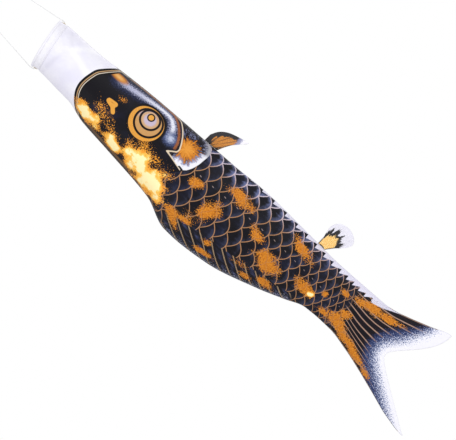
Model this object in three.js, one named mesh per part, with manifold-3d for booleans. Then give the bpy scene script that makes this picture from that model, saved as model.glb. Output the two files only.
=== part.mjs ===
// Carp streamer: a wind sock of two printed cloth panels, sewn together along the back and the
// belly, held open by a hoop and hung by a two-leg bridle from a swivel snap hook.
// Millimetres, +Z up. The origin is the bearing point, the inside top of the snap hook.
// The streamer hangs straight down: mouth up and tail down, its back towards -X, its belly
// towards +X and its right side towards -Y.
import * as THREE from 'three';
import { mergeVertices } from 'three/addons/utils/BufferGeometryUtils.js';
import Module from 'manifold-3d';

const wasm = await Module();
wasm.setup();

// ---------------------------------------------------------------- driving dimensions
const fishLength = 1500;        // mouth hoop to the tip of the longer tail lobe
const hoopRadius = 74;          // centre line of the hoop wire
const mouthTilt = 8;            // degrees that the mouth faces towards the back
const leanLength = 110;         // over which the cloth takes up that tilt
const backReach = 180;          // from the axis to the back at its highest
const bellyReach = 91;          // from the axis to the belly at its lowest
const bodyDepth = 66;           // from the middle plane to the side, at the thickest of the body
const rootDepth = 27;           // the same at the tail root
const outletDepth = 8;          // the same at the open end of the tail
const backLobeReach = 178;      // tips of the tail, across
const bellyLobeReach = 128;
const bellyLobeShort = 80;      // how much sooner the belly lobe ends
const forkDepth = 188;          // from the longer tip to the notch of the fork
const notchOffset = -35;        // of the notch from the axis, towards the back
const notchRound = 0.12;        // roundness of the notch, a share of each lobe's width
const clothWall = 1.2;          // cloth as a closed solid
const tapeWidth = 3;            // seam tape between the two panels
const tapeThick = 1.4;
const tapeProud = 1;            // how far the tape stands outside the seam
const gap = 0.3;                // between pieces that touch
const seamGap = 0.8;            // between lengths of seam tape, across a bend
const bodyBend = 610;           // place of the bend behind the gills, from the mouth
const bodyBendHalf = 18;        // half the length of its fold band
const tailBend = 1072;          // place of the bend before the tail
const tailBendHalf = 13;
const hoopWire = 1.5;           // radius of the hoop wire
const ferruleWall = 0.5;
const ferruleLength = 24;
const hemDepth = 24;            // outer layer of the mouth hem, below the hoop
const hemReturn = 20;           // inner, folded-back layer
const layerGap = 0.5;           // between the two layers
const eyeletDrop = 11;          // eyelets, below the hoop
const eyeletBore = 2.2;         // radius
const eyeletWall = 0.8;
const eyeletFlange = 6;         // radius
const flangeThick = 0.8;
const flangeGap = 0.6;          // flange to the curved hem
const cordRadius = 1;
const knotRadius = 3.2;
const bridleHeight = 600;       // from the ring to the hoop
const legSpread = 1.6;          // half the distance between the legs at the ring
const hitchRadius = 3.4;
const hitchSink = 1.6;          // how far the bulb of the hitch hangs below its turns
const hitchSpread = 1.15;        // half the distance between the two turns on the ring
const ringRadius = 10;          // bridle ring, centre line
const ringWire = 1.25;
const eyeRadius = 6;            // swivel eye, centre line
const eyeWire = 2;
const collarRadius = 4.2;
const collarHeight = 2.3;
const studRadius = 2;
const studGap = 0.4;
const studHead = 3.6;
const studHeadHeight = 2.2;
const hookInside = 7;           // inside radius of the hook's bend
const hookWire = 2.5;
const legInside = 1.5;          // clear half width between the hook's legs, where they meet the boss
const tangRadius = 2.8;         // eye of the tang that the gate turns on
const pinHead = 1.9;
const pinHeadHeight = 0.7;
const springTail = 3.4;         // how far the spring's leg runs on below the gate pin
const noseDrop = 12;            // end of the hook's nose
const gatePivot = 34;           // gate pin, below the bearing point
const gateWide = 7.2;
const gateThick = 5;
const gateSlot = 4.4;
const pinRadius = 1;
const pinGap = 0.3;
const bossRadius = 6.5;
const bossTop = 40;             // below the bearing point
const bossHeight = 6;
const finThick = 1;             // two layers of cloth
const finSplay = 12;            // degrees that each fin of a pair stands off the middle plane
const pectoralAt = 521;         // front end of each fin's root, from the mouth
const pelvicAt = 958;

// ---------------------------------------------------------------- places worked out from them
const boreRadius = studRadius + studGap;
const bossBottom = bossTop + bossHeight;
const eyeCentre = -(bossBottom + gap + collarHeight + eyeRadius);
const swingZ = eyeCentre - eyeRadius;
const ringCentre = swingZ + eyeWire + gap + ringWire - ringRadius;
const ringBottom = ringCentre - ringRadius;
const hoopZ = ringBottom - bridleHeight;
const eyeletZ = hoopZ - eyeletDrop;
const panelTop = hemDepth + gap;
const panelRadius = hoopRadius + layerGap / 2 + clothWall / 2;
const seamHalf = tapeThick / 2 + gap + clothWall / 2;
const hemOuter = hoopRadius + layerGap / 2 + clothWall;
const hemInner = hoopRadius - layerGap / 2 - clothWall;
const tilt = THREE.MathUtils.degToRad(mouthTilt);
const mouthHalf = panelRadius * Math.cos(tilt);
const mouthLean = panelTop * Math.sin(tilt);

// ---------------------------------------------------------------- helpers
const cloth = (color) => new THREE.MeshStandardMaterial({ color, roughness: 0.8, metalness: 0 });
const metal = (color) => new THREE.MeshStandardMaterial({ color, roughness: 0.3, metalness: 1 });
const printed = cloth(0x1c1c26);
const white = cloth(0xeeeef4);
const bright = metal(0xc8c9cc);
const brass = metal(0xc9a24a);

const streamer = new THREE.Group();
function add(name, geometry, material) {
  const mesh = new THREE.Mesh(geometry, material);
  mesh.name = name;
  streamer.add(mesh);
}

function solid(geometry) {
  const bare = geometry.index ? geometry.clone() : geometry;
  for (const key of Object.keys(bare.attributes)) if (key !== 'position') bare.deleteAttribute(key);
  const merged = mergeVertices(bare, 1e-4);
  return new wasm.Manifold(new wasm.Mesh({
    numProp: 3,
    vertProperties: new Float32Array(merged.attributes.position.array),
    triVerts: new Uint32Array(merged.index.array),
  }));
}

function geometryOf(manifold) {
  const mesh = manifold.getMesh();
  const geometry = new THREE.BufferGeometry();
  geometry.setAttribute('position', new THREE.BufferAttribute(mesh.vertProperties, 3));
  geometry.setIndex(new THREE.BufferAttribute(mesh.triVerts, 1));
  return geometry;
}

const join = (...pieces) => pieces.map(solid).reduce((sum, piece) => sum.add(piece));

// A smooth line through hand-set points, without overshoot (monotone cubic).
function through(points) {
  const slope = points.map((p, i) => {
    if (i === 0 || i === points.length - 1) return 0;
    const before = (p[1] - points[i - 1][1]) / (p[0] - points[i - 1][0]);
    const after = (points[i + 1][1] - p[1]) / (points[i + 1][0] - p[0]);
    return before * after <= 0 ? 0 : (2 * before * after) / (before + after);
  });
  return (x) => {
    let i = 0;
    while (i < points.length - 2 && x > points[i + 1][0]) i += 1;
    const [x0, y0] = points[i];
    const [x1, y1] = points[i + 1];
    const w = x1 - x0;
    const t = Math.min(1, Math.max(0, (x - x0) / w));
    const a = y0 * (1 + 2 * t) * (1 - t) ** 2 + y1 * t * t * (3 - 2 * t);
    return a + w * t * (1 - t) * (slope[i] * (1 - t) - slope[i + 1] * t);
  };
}

// A rod of round section along a smooth line through points.
function rod(points, radius, steps, sides = 8, closed = false) {
  const section = new THREE.Shape();
  section.absarc(0, 0, radius, 0, 2 * Math.PI);
  const route = points.length === 2
    ? new THREE.LineCurve3(...points)
    : new THREE.CatmullRomCurve3(points, closed, 'centripetal');
  return new THREE.ExtrudeGeometry(section, {
    extrudePath: route, steps, curveSegments: sides / 2, bevelEnabled: false,
  });
}

// A ring of round wire. axis is the direction that its hole faces.
function ring(radius, wire, axis, x, z, around = 32, sides = 10) {
  const geometry = new THREE.TorusGeometry(radius, wire, sides, around);
  if (axis === 'x') geometry.rotateY(Math.PI / 2);
  if (axis === 'y') geometry.rotateX(Math.PI / 2);
  return geometry.translate(x, 0, z);
}

// A turned piece about Z, from a closed profile of [radius, z] pairs.
function turned(profile, sides = 24) {
  const closed = [...profile, profile[0]].map(([r, z]) => new THREE.Vector2(r, z));
  return new THREE.LatheGeometry(closed, sides).rotateX(Math.PI / 2);
}

// A bar or bore along X or Y.
function bar(radius, length, axis, x, z, sides = 20) {
  const geometry = new THREE.CylinderGeometry(radius, radius, length, sides);
  if (axis === 'x') geometry.rotateZ(Math.PI / 2);
  return geometry.translate(x, 0, z);
}

// A flat plate from an outline in X and Z, between two Y values.
function plate(outline, low, high) {
  const shape = new THREE.Shape(outline.map(([x, z]) => new THREE.Vector2(x, z)));
  const geometry = new THREE.ExtrudeGeometry(shape, { depth: high - low, bevelEnabled: false });
  return geometry.rotateX(Math.PI / 2).translate(0, high, 0);
}

// Turns a geometry or a point about the hoop's centre, from a level mouth to the tilted one.
const toMouth = new THREE.Matrix4().makeTranslation(0, 0, hoopZ)
  .multiply(new THREE.Matrix4().makeRotationY(-tilt))
  .multiply(new THREE.Matrix4().makeTranslation(0, 0, -hoopZ));
const tilted = (piece) => piece.applyMatrix4(toMouth);

// A curved sheet of cloth as a closed solid: place(along, across) with both from 0 to 1.
function sheet(place, along, across, side) {
  const at = (i, j) => place(i / along, j / across);
  const points = [[], []];
  for (let i = 0; i <= along; i += 1) {
    for (let j = 0; j <= across; j += 1) {
      const down = at(Math.min(i + 1, along), j).sub(at(Math.max(i - 1, 0), j));
      const over = at(i, Math.min(j + 1, across)).sub(at(i, Math.max(j - 1, 0)));
      const out = down.cross(over).normalize().multiplyScalar(-side * clothWall / 2);
      const middle = at(i, j);
      points[0].push(middle.clone().add(out));
      points[1].push(middle.clone().sub(out));
    }
  }
  const row = across + 1;
  const layer = (along + 1) * row;
  const faces = [];
  const quad = (a, b, c, d) => faces.push(a, b, c, a, c, d);
  for (let i = 0; i < along; i += 1) {
    for (let j = 0; j < across; j += 1) {
      const a = i * row + j;
      quad(a, a + row, a + row + 1, a + 1);
      quad(layer + a, layer + a + 1, layer + a + row + 1, layer + a + row);
    }
  }
  for (let i = 0; i < along; i += 1) {
    const a = i * row;
    const b = a + across;
    quad(a, layer + a, layer + a + row, a + row);
    quad(b, b + row, layer + b + row, layer + b);
  }
  for (let j = 0; j < across; j += 1) {
    const b = along * row + j;
    quad(j, j + 1, layer + j + 1, layer + j);
    quad(b, layer + b, layer + b + 1, b + 1);
  }
  if (side > 0) faces.reverse();
  const geometry = new THREE.BufferGeometry();
  geometry.setAttribute('position', new THREE.Float32BufferAttribute(
    points.flat().flatMap((p) => [p.x, p.y, p.z]), 3));
  geometry.setIndex(faces);
  return geometry;
}

// ---------------------------------------------------------------- shape of the fish
// Shares of the way from the mouth's radius to each reach, at shares of the length.
const backShape = through([
  [0, 0], [0.1, 0.06], [0.15, 0.25], [0.22, 0.38], [0.335, 0.62], [0.4, 0.98], [0.43, 1],
  [0.5, 0.93], [0.61, 0.53], [0.66, 0.28], [0.7, 0.08], [0.745, 0.06],
]);
const bellyShape = through([
  [0, 0], [0.1, 0.12], [0.15, 0.45], [0.24, 0.75], [0.42, 0.82], [0.49, 1], [0.61, 0.4],
  [0.7, -0.1], [0.79, -0.16],
]);
const depthShape = through([[0, 0], [0.3, 0.3], [0.42, 1], [0.745, 1]]);
const thinShape = through([[0.42, 0], [0.58, 0.34], [0.745, 1]]);
const lensShape = through([[0, 1], [0.2, 1.08], [0.45, 1.25], [0.745, 1.5]]);

const lean = (s) => mouthLean * (1 - THREE.MathUtils.smoothstep(s, panelTop, panelTop + leanLength));
const backEdge = (s) => lean(s) - mouthHalf - (backReach - mouthHalf) * backShape(s / fishLength);
const bellyEdge = (s) => lean(s) + mouthHalf + (bellyReach - mouthHalf) * bellyShape(s / fishLength);
const mouthEnd = (x) => panelTop / Math.cos(tilt) - x * Math.tan(tilt);
function sideDepth(s) {
  const along = s / fishLength;
  const front = panelRadius + (bodyDepth - panelRadius) * depthShape(along);
  return front + (rootDepth - bodyDepth) * thinShape(along);
}

// A point of the cloth: s from the mouth, angle from the back (0) to the belly (pi).
function clothPoint(s, angle, side) {
  const middle = (backEdge(s) + bellyEdge(s)) / 2;
  const half = (bellyEdge(s) - backEdge(s)) / 2;
  const bulge = Math.sin(angle) ** lensShape(s / fishLength);
  return new THREE.Vector3(
    middle - half * Math.cos(angle),
    side * (seamHalf + (sideDepth(s) - seamHalf) * bulge),
    hoopZ - s,
  );
}

// from(angle) and to give the two ends of a length of panel.
function panel(from, to, side, along, across = 14) {
  const place = (i, j) => {
    const start = from(Math.PI * j);
    return clothPoint(start + (to - start) * i, Math.PI * j, side);
  };
  return sheet(place, along, across, side);
}
const mouthStart = (angle) => mouthEnd(mouthLean - mouthHalf * Math.cos(angle));

// The tail is spanned between its root, its two outer edges and its forked trailing edge.
const tailStart = tailBend + tailBendHalf + gap / 2;
const backTip = new THREE.Vector2(fishLength, -backLobeReach);
const bellyTip = new THREE.Vector2(fishLength - bellyLobeShort, bellyLobeReach);
const notch = new THREE.Vector2(fishLength - forkDepth, notchOffset);
const backLobe = through([
  [0, 0], [0.14, 0.02], [0.31, 0.17], [0.48, 0.38], [0.65, 0.62], [0.83, 0.87], [1, 1],
]);
const bellyLobe = through([[0, 0], [0.38, 0], [0.5, 0.08], [0.6, 0.24], [0.81, 0.64], [1, 1]]);

function lobeSide(tip, t) {
  const [lobe, rootX] = tip === backTip
    ? [backLobe, backEdge(tailStart)] : [bellyLobe, bellyEdge(tailStart)];
  return new THREE.Vector2(tailStart + (tip.x - tailStart) * t, rootX + (tip.y - rootX) * lobe(t));
}

function trailingEdge(u) {
  const tip = u < 0.5 ? backTip : bellyTip;
  const v = Math.abs(2 * u - 1);
  const rounded = (Math.hypot(v, notchRound) - notchRound) / (Math.hypot(1, notchRound) - notchRound);
  const out = tip === backTip ? rounded : Math.sin(rounded * Math.PI / 2);
  return new THREE.Vector2(notch.x + (tip.x - notch.x) * out, notch.y + (tip.y - notch.y) * v);
}

function tailPlan(r, u) {
  const rootBack = backEdge(tailStart);
  const rootBelly = bellyEdge(tailStart);
  const root = (t) => new THREE.Vector2(tailStart, rootBack + (rootBelly - rootBack) * t);
  return lobeSide(backTip, r).multiplyScalar(1 - u)
    .addScaledVector(lobeSide(bellyTip, r), u)
    .addScaledVector(root(u), 1 - r)
    .addScaledVector(trailingEdge(u), r)
    .addScaledVector(root(0), -(1 - r) * (1 - u))
    .addScaledVector(root(1), -(1 - r) * u)
    .addScaledVector(backTip, -r * (1 - u))
    .addScaledVector(bellyTip, -r * u);
}

function tailPanel(side, along = 14, across = 20) {
  const rootHalf = sideDepth(tailStart);
  return sheet((r, t) => {
    const angle = Math.PI * t;
    const plan = tailPlan(r, (1 - Math.cos(angle)) / 2);
    const half = rootHalf + (outletDepth - rootHalf) * r;
    const lens = Math.sin(angle) ** lensShape(tailStart / fishLength);
    const y = side * (seamHalf + (half - seamHalf) * lens);
    return new THREE.Vector3(plan.y, y, hoopZ - plan.x);
  }, along, across, side);
}

// Seam tape along an edge: edge(t) gives [s, x] for t from 0 to 1, outward is -1 or 1.
function tape(edge, outward, steps) {
  const inner = [];
  const outer = [];
  for (let i = 0; i <= steps; i += 1) {
    const [s, x] = edge(i / steps);
    inner.push([x - outward * (tapeWidth - tapeProud), hoopZ - s]);
    outer.push([x + outward * tapeProud, hoopZ - s]);
  }
  return plate([...inner, ...outer.reverse()], -tapeThick / 2, tapeThick / 2);
}

// ---------------------------------------------------------------- snap hook, gate and swivel
const hookBend = hookInside + hookWire;
function makeHook() {
  const bend = [];
  for (let i = 0; i <= 6; i += 1) {
    const angle = Math.PI * (1 - i / 6);
    bend.push(new THREE.Vector3(hookBend * Math.cos(angle), 0, hookBend * Math.sin(angle) - hookInside));
  }
  const route = [
    new THREE.Vector3(-legInside - hookWire, 0, -bossTop - bossHeight / 2),
    new THREE.Vector3(-hookBend + 0.6, 0, -bossTop + 2.5),
    new THREE.Vector3(-hookBend, 0, -gatePivot + 4),
    new THREE.Vector3(-hookBend, 0, -gatePivot / 2),
    ...bend,
    new THREE.Vector3(hookBend, 0, -noseDrop),
  ];
  const frame = rod(route, hookWire, 36, 10);
  const arm = rod([
    new THREE.Vector3(legInside + hookWire, 0, -bossTop - bossHeight / 2),
    new THREE.Vector3(hookBend, 0, -bossTop - 0.6),
  ], hookWire, 1, 10);
  const boss = turned([[boreRadius, -bossBottom], [bossRadius, -bossBottom],
    [bossRadius, -bossTop], [boreRadius, -bossTop]]);
  const eye = [];
  for (let i = 0; i <= 8; i += 1) {
    const angle = Math.PI * i / 8;
    eye.push([hookBend + tangRadius * Math.cos(angle), -gatePivot + tangRadius * Math.sin(angle)]);
  }
  const tang = plate([...eye, [hookBend - tangRadius, -bossTop - 1],
    [hookBend + tangRadius, -bossTop - 1]], gap, gateSlot / 2 - gap);
  const bore = solid(bar(boreRadius, bossHeight * 3, 'y', 0, 0).rotateX(Math.PI / 2)
    .translate(0, 0, -bossTop - bossHeight / 2));
  const pinHole = solid(bar(pinRadius + pinGap, gateWide * 2, 'y', hookBend, -gatePivot));
  return geometryOf(join(frame, arm, boss, tang).subtract(bore).subtract(pinHole));
}

function makeGate() {
  const half = gateThick / 2;
  const foot = [];
  for (let i = 0; i <= 8; i += 1) {
    const angle = Math.PI * (1 + i / 8);
    foot.push([hookBend + half * Math.cos(angle), -gatePivot + half * Math.sin(angle)]);
  }
  const top = -noseDrop - gap;
  const outline = [...foot, [hookBend + half, top - 1], [hookBend + half - 1, top],
    [hookBend - half + 1, top], [hookBend - half, top - 1]];
  const blank = solid(plate(outline, -gateWide / 2, gateWide / 2));
  const slot = solid(new THREE.BoxGeometry(gateThick * 2, gateSlot, 12)
    .translate(hookBend, 0, -gatePivot + 1.5));
  const hole = solid(bar(pinRadius + pinGap, gateWide * 2, 'y', hookBend, -gatePivot));
  return geometryOf(blank.subtract(slot).subtract(hole));
}

function makePin() {
  const reach = gateWide / 2 + gap;
  const face = reach + pinHeadHeight;
  const profile = [[0, -face], [pinHead - 0.2, -face], [pinHead, -reach], [pinRadius, -reach],
    [pinRadius, reach], [pinHead, reach], [pinHead - 0.2, face], [0, face]];
  return turned(profile, 16).rotateX(Math.PI / 2).translate(hookBend, 0, -gatePivot);
}

function makeSpring() {
  const wire = 0.3;
  const coil = pinRadius + gap + wire;
  const turns = 2;
  const points = [new THREE.Vector3(hookBend - 0.4, -0.6, -gatePivot + 6)];
  for (let i = 0; i <= turns * 8; i += 1) {
    const angle = Math.PI / 2 + 2 * Math.PI * i / 8;
    const y = -0.6 - 1.2 * i / (turns * 8);
    points.push(new THREE.Vector3(
      hookBend - coil * Math.cos(angle - Math.PI / 2), y, -gatePivot + coil * Math.sin(angle - Math.PI / 2)));
  }
  points.push(new THREE.Vector3(hookBend - coil, -1.8, -gatePivot - springTail));
  return rod(points, wire, 44, 6);
}

function makeSwivel() {
  const collarTop = -bossBottom - gap;
  const head = -bossTop + gap;
  const stem = turned([[0, collarTop - collarHeight - 1], [collarRadius - 0.8, collarTop - collarHeight - 1],
    [collarRadius, collarTop - collarHeight], [collarRadius, collarTop], [studRadius, collarTop],
    [studRadius, head], [studHead, head], [studHead, head + studHeadHeight - 0.8],
    [studHead - 0.8, head + studHeadHeight], [0, head + studHeadHeight]]);
  return geometryOf(join(stem, ring(eyeRadius, eyeWire, 'x', 0, eyeCentre, 24)));
}

add('snap_hook', makeHook(), bright);
add('snap_gate', makeGate(), bright);
add('gate_pin', makePin(), bright);
add('gate_spring', makeSpring(), bright);
add('swivel_eye', makeSwivel(), bright);

// ---------------------------------------------------------------- bridle
const hitchLoop = ringWire + 2 * gap + cordRadius;
const hitchBulb = ringBottom - hitchLoop - cordRadius - hitchSink;
const legTop = hitchBulb - hitchRadius - gap;
const knotX = hemInner - flangeGap - flangeThick - gap - knotRadius;

add('bridle_ring', ring(ringRadius, ringWire, 'y', 0, ringCentre, 32, 8), bright);
const hitchTurns = [-1, 1].map((side) =>
  ring(hitchLoop, cordRadius, 'x', side * hitchSpread, ringBottom, 16, 6));
const bulb = new THREE.SphereGeometry(hitchRadius, 12, 8).translate(0, 0, hitchBulb);
add('ring_hitch', geometryOf(join(...hitchTurns, bulb)), white);

for (const [name, outward] of [['back', -1], ['belly', 1]]) {
  const turnOut = [
    [knotX + knotRadius + gap, -eyeletDrop], [hemOuter, -eyeletDrop],
    [hemOuter + 2.4, -eyeletDrop + 0.4], [hemOuter + 4.4, -eyeletDrop + 2.6],
    [hemOuter + 5, -eyeletDrop + 6], [hemOuter + 5, 0], [hemOuter + 4.6, 6],
  ].map(([x, z]) => tilted(new THREE.Vector3(outward * x, 0, hoopZ + z)));
  const low = turnOut.at(-1).clone();
  const high = new THREE.Vector3(outward * legSpread, 0, legTop);
  const start = low.clone().add(low.clone().sub(high).normalize());
  const leg = rod([start, high], cordRadius, 4);
  add(`bridle_line_${name}`, geometryOf(join(rod(turnOut, cordRadius, 14), leg)), white);

  const knot = new THREE.SphereGeometry(knotRadius, 12, 8);
  add(`stopper_knot_${name}`, tilted(knot.translate(outward * knotX, 0, eyeletZ)), white);

  const out = hemOuter + gap;
  const inn = hemInner - flangeGap;
  const eyelet = turned([[eyeletBore, inn - flangeThick], [eyeletFlange, inn - flangeThick],
    [eyeletFlange, inn], [eyeletBore + eyeletWall, inn], [eyeletBore + eyeletWall, out],
    [eyeletFlange, out], [eyeletFlange, out + flangeThick], [eyeletBore, out + flangeThick]], 16);
  eyelet.rotateY(outward * Math.PI / 2).translate(0, 0, eyeletZ);
  add(`eyelet_${name}`, tilted(eyelet), brass);
}

// ---------------------------------------------------------------- mouth hoop and hem
const ferruleRadius = hoopWire + gap + ferruleWall;
const tunnel = ferruleRadius + gap;
const hemSag = 0.1165;          // how far the flat of each of the hem's sides may fall inside its round

function makeHoop() {
  const opening = gap / hoopRadius;
  const points = [];
  for (let i = 0; i <= 48; i += 1) {
    const angle = Math.PI / 2 + opening + (2 * Math.PI - 2 * opening) * i / 48;
    points.push(new THREE.Vector3(hoopRadius * Math.cos(angle), hoopRadius * Math.sin(angle), hoopZ));
  }
  return rod(points, hoopWire, 48);
}

function makeFerrule() {
  const half = ferruleLength / 2 / hoopRadius;
  const arc = (radius, reach) => {
    const points = [];
    for (let i = 0; i <= 8; i += 1) {
      const angle = Math.PI / 2 + reach * (i / 4 - 1);
      points.push(new THREE.Vector3(hoopRadius * Math.cos(angle), hoopRadius * Math.sin(angle), hoopZ));
    }
    return solid(rod(points, radius, 8, 12));
  };
  return geometryOf(arc(ferruleRadius, half).subtract(arc(hoopWire + gap, half * 1.1)));
}

function makeHem() {
  const sides = Math.ceil(Math.PI / Math.acos(1 - hemSag / hoopRadius));
  const bottom = Math.sqrt((tunnel + clothWall) ** 2 - (layerGap / 2 + clothWall) ** 2);
  const inside = Math.sqrt(tunnel ** 2 - (layerGap / 2) ** 2);
  const arc = (radius, x, steps) => {
    const lean = Math.asin(x / radius);
    const points = [];
    for (let i = 0; i <= steps; i += 1) {
      const angle = -Math.PI / 2 + lean + (2 * Math.PI - 2 * lean) * i / steps;
      points.push([hoopRadius + radius * Math.cos(angle), hoopZ + radius * Math.sin(angle)]);
    }
    return points;
  };
  const profile = [
    [hemOuter, hoopZ - hemDepth], [hemOuter, hoopZ - bottom - 1],
    ...arc(tunnel + clothWall, layerGap / 2 + clothWall, 7),
    [hemInner, hoopZ - bottom - 1], [hemInner, hoopZ - hemReturn],
    [hemInner + clothWall, hoopZ - hemReturn], [hemInner + clothWall, hoopZ - inside - 1],
    ...arc(tunnel, layerGap / 2, 7).reverse(),
    [hemOuter - clothWall, hoopZ - inside - 1], [hemOuter - clothWall, hoopZ - hemDepth],
  ];
  const holes = bar(eyeletBore + eyeletWall + gap, hemOuter * 3, 'x', 0, eyeletZ, 12);
  return geometryOf(solid(turned(profile, sides)).subtract(solid(holes)));
}

add('mouth_hoop', tilted(makeHoop()), white);
add('hoop_ferrule', tilted(makeFerrule()), bright);
add('mouth_hem', tilted(makeHem()), white);

// ---------------------------------------------------------------- cloth panels and seams
for (const [name, side] of [['right', -1], ['left', 1]]) {
  const frontEnd = bodyBend - bodyBendHalf;
  const middleStart = bodyBend + bodyBendHalf;
  const middleEnd = tailBend - tailBendHalf;
  add(`${name}_panel_front`, panel(mouthStart, frontEnd, side, 16), printed);
  add(`${name}_panel_body_fold`, panel(() => frontEnd + gap, middleStart - gap, side, 3), printed);
  add(`${name}_panel_middle`, panel(() => middleStart, middleEnd, side, 14), printed);
  add(`${name}_panel_tail_fold`, panel(() => middleEnd + gap, tailStart - gap, side, 2), printed);
  add(`${name}_panel_tail`, tailPanel(side), printed);
}

for (const [name, outward, edge, tip] of [
  ['back', -1, backEdge, backTip], ['belly', 1, bellyEdge, bellyTip],
]) {
  const stretch = (from, to) => (t) => [from + (to - from) * t, edge(from + (to - from) * t)];
  const upper = bodyBend - seamGap / 2;
  const lower = tailBend - seamGap / 2;
  const top = mouthEnd(mouthLean + outward * mouthHalf) + tapeWidth * Math.tan(tilt) + gap;
  add(`${name}_seam_front`, tape(stretch(top, upper), outward, 24), printed);
  add(`${name}_seam_middle`, tape(stretch(bodyBend + seamGap / 2, lower), outward, 18), printed);
  const lobe = (t) => lobeSide(tip, t).toArray();
  const rootShare = 1 / 17;
  const tailRun = (t) => (t < rootShare
    ? stretch(tailBend + seamGap / 2, tailStart)(t / rootShare)
    : lobe((t - rootShare) / (1 - rootShare)));
  add(`${name}_seam_tail`, tape(tailRun, outward, 17), printed);
}

// ---------------------------------------------------------------- fins
// Outlines as [towards the tail, outward], from the front end of the root to its rear end.
const pectoral = {
  start: pectoralAt,
  root: 46,
  edge: [[2, 23], [16, 45], [41, 62], [77, 72], [102, 75], [78, 52], [60, 27], [50, 8]],
};
const pelvic = {
  start: pelvicAt,
  root: 27,
  edge: [[-3, 32], [-8, 60], [4, 84], [34, 93], [60, 85], [73, 68], [66, 48], [44, 22]],
};

function fin(design, side) {
  const from = new THREE.Vector3(bellyEdge(design.start), 0, hoopZ - design.start);
  const to = new THREE.Vector3(bellyEdge(design.start + design.root), 0,
    hoopZ - design.start - design.root);
  const along = to.clone().sub(from).normalize();
  const outward = new THREE.Vector3(-along.z, 0, along.x);
  const across = new THREE.Vector3(0, side, 0);
  const splay = THREE.MathUtils.degToRad(finSplay);
  const up = outward.clone().multiplyScalar(Math.cos(splay)).addScaledVector(across, Math.sin(splay));
  const normal = along.clone().cross(up);
  const shape = new THREE.Shape();
  shape.moveTo(0, 0);
  shape.lineTo(...design.edge[0]);
  shape.splineThru(design.edge.slice(1).map(([x, y]) => new THREE.Vector2(x, y)));
  shape.lineTo(design.root, 0);
  const geometry = new THREE.ExtrudeGeometry(shape,
    { depth: finThick, bevelEnabled: false, curveSegments: 3 });
  geometry.translate(0, 0, -finThick / 2);
  const seat = from.clone().addScaledVector(outward, tapeProud + gap * 1.5)
    .addScaledVector(across, finThick / 2 + gap * 1.5);
  geometry.applyMatrix4(new THREE.Matrix4().makeBasis(along, up, normal).setPosition(seat));
  return geometry;
}

for (const [name, side] of [['right', -1], ['left', 1]]) {
  add(`pectoral_fin_${name}`, fin(pectoral, side), printed);
  add(`pelvic_fin_${name}`, fin(pelvic, side), printed);
}

export default streamer;
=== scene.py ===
import math

import bpy
import numpy as np
from mathutils import Matrix, Vector


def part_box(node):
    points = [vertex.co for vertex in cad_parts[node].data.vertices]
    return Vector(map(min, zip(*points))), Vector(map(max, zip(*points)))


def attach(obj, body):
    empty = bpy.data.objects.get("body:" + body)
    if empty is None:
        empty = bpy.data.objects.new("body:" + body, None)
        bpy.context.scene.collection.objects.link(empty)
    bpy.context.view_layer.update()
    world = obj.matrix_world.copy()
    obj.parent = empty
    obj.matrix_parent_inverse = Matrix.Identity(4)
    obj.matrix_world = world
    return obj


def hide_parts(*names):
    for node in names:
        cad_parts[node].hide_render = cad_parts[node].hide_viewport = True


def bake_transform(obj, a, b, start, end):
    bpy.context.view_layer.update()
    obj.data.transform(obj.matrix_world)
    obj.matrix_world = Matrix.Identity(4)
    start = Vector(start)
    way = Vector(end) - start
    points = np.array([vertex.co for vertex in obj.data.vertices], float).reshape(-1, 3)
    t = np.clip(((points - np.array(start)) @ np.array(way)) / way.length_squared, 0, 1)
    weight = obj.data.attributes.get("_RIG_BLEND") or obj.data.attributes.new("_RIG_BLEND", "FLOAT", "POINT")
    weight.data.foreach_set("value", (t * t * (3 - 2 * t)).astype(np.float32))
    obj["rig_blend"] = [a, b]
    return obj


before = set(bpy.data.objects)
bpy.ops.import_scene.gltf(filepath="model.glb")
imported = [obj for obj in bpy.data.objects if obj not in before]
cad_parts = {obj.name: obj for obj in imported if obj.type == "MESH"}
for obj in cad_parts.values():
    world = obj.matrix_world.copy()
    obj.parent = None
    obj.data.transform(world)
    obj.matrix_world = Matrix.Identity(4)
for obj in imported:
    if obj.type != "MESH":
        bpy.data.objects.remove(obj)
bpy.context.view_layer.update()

MM = 0.001

# ---------------------------------------------------------------- view, light and floor
# The streamer flies out to the side in the wind. It is looked at square on from its right side, with
# the view rolled, so that its mouth is at the upper left. Soft white studio light from all round.
hoop_low, hoop_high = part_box("mouth_hoop")
MOUTH_Z = (hoop_low.z + hoop_high.z) / 2
VIEW_DISTANCE = 9.0
VIEW_LENS = 249
VIEW_ROLL = math.radians(-49)
AIM_ASIDE, AIM_BELOW = -0.040, 0.721
aim = Vector((AIM_ASIDE, 0, MOUTH_Z - AIM_BELOW))

camera = bpy.data.objects.new("camera", bpy.data.cameras.new("camera"))
bpy.context.scene.collection.objects.link(camera)
camera.data.lens = VIEW_LENS
camera.data.clip_end = 100
camera.matrix_world = (
    Matrix.Translation(aim + Vector((0, -VIEW_DISTANCE, 0)))
    @ Matrix.Rotation(math.pi / 2, 4, "X")
    @ Matrix.Rotation(VIEW_ROLL, 4, "Z")
)
bpy.context.scene.camera = camera
bpy.context.scene.view_settings.view_transform = "Standard"

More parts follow.
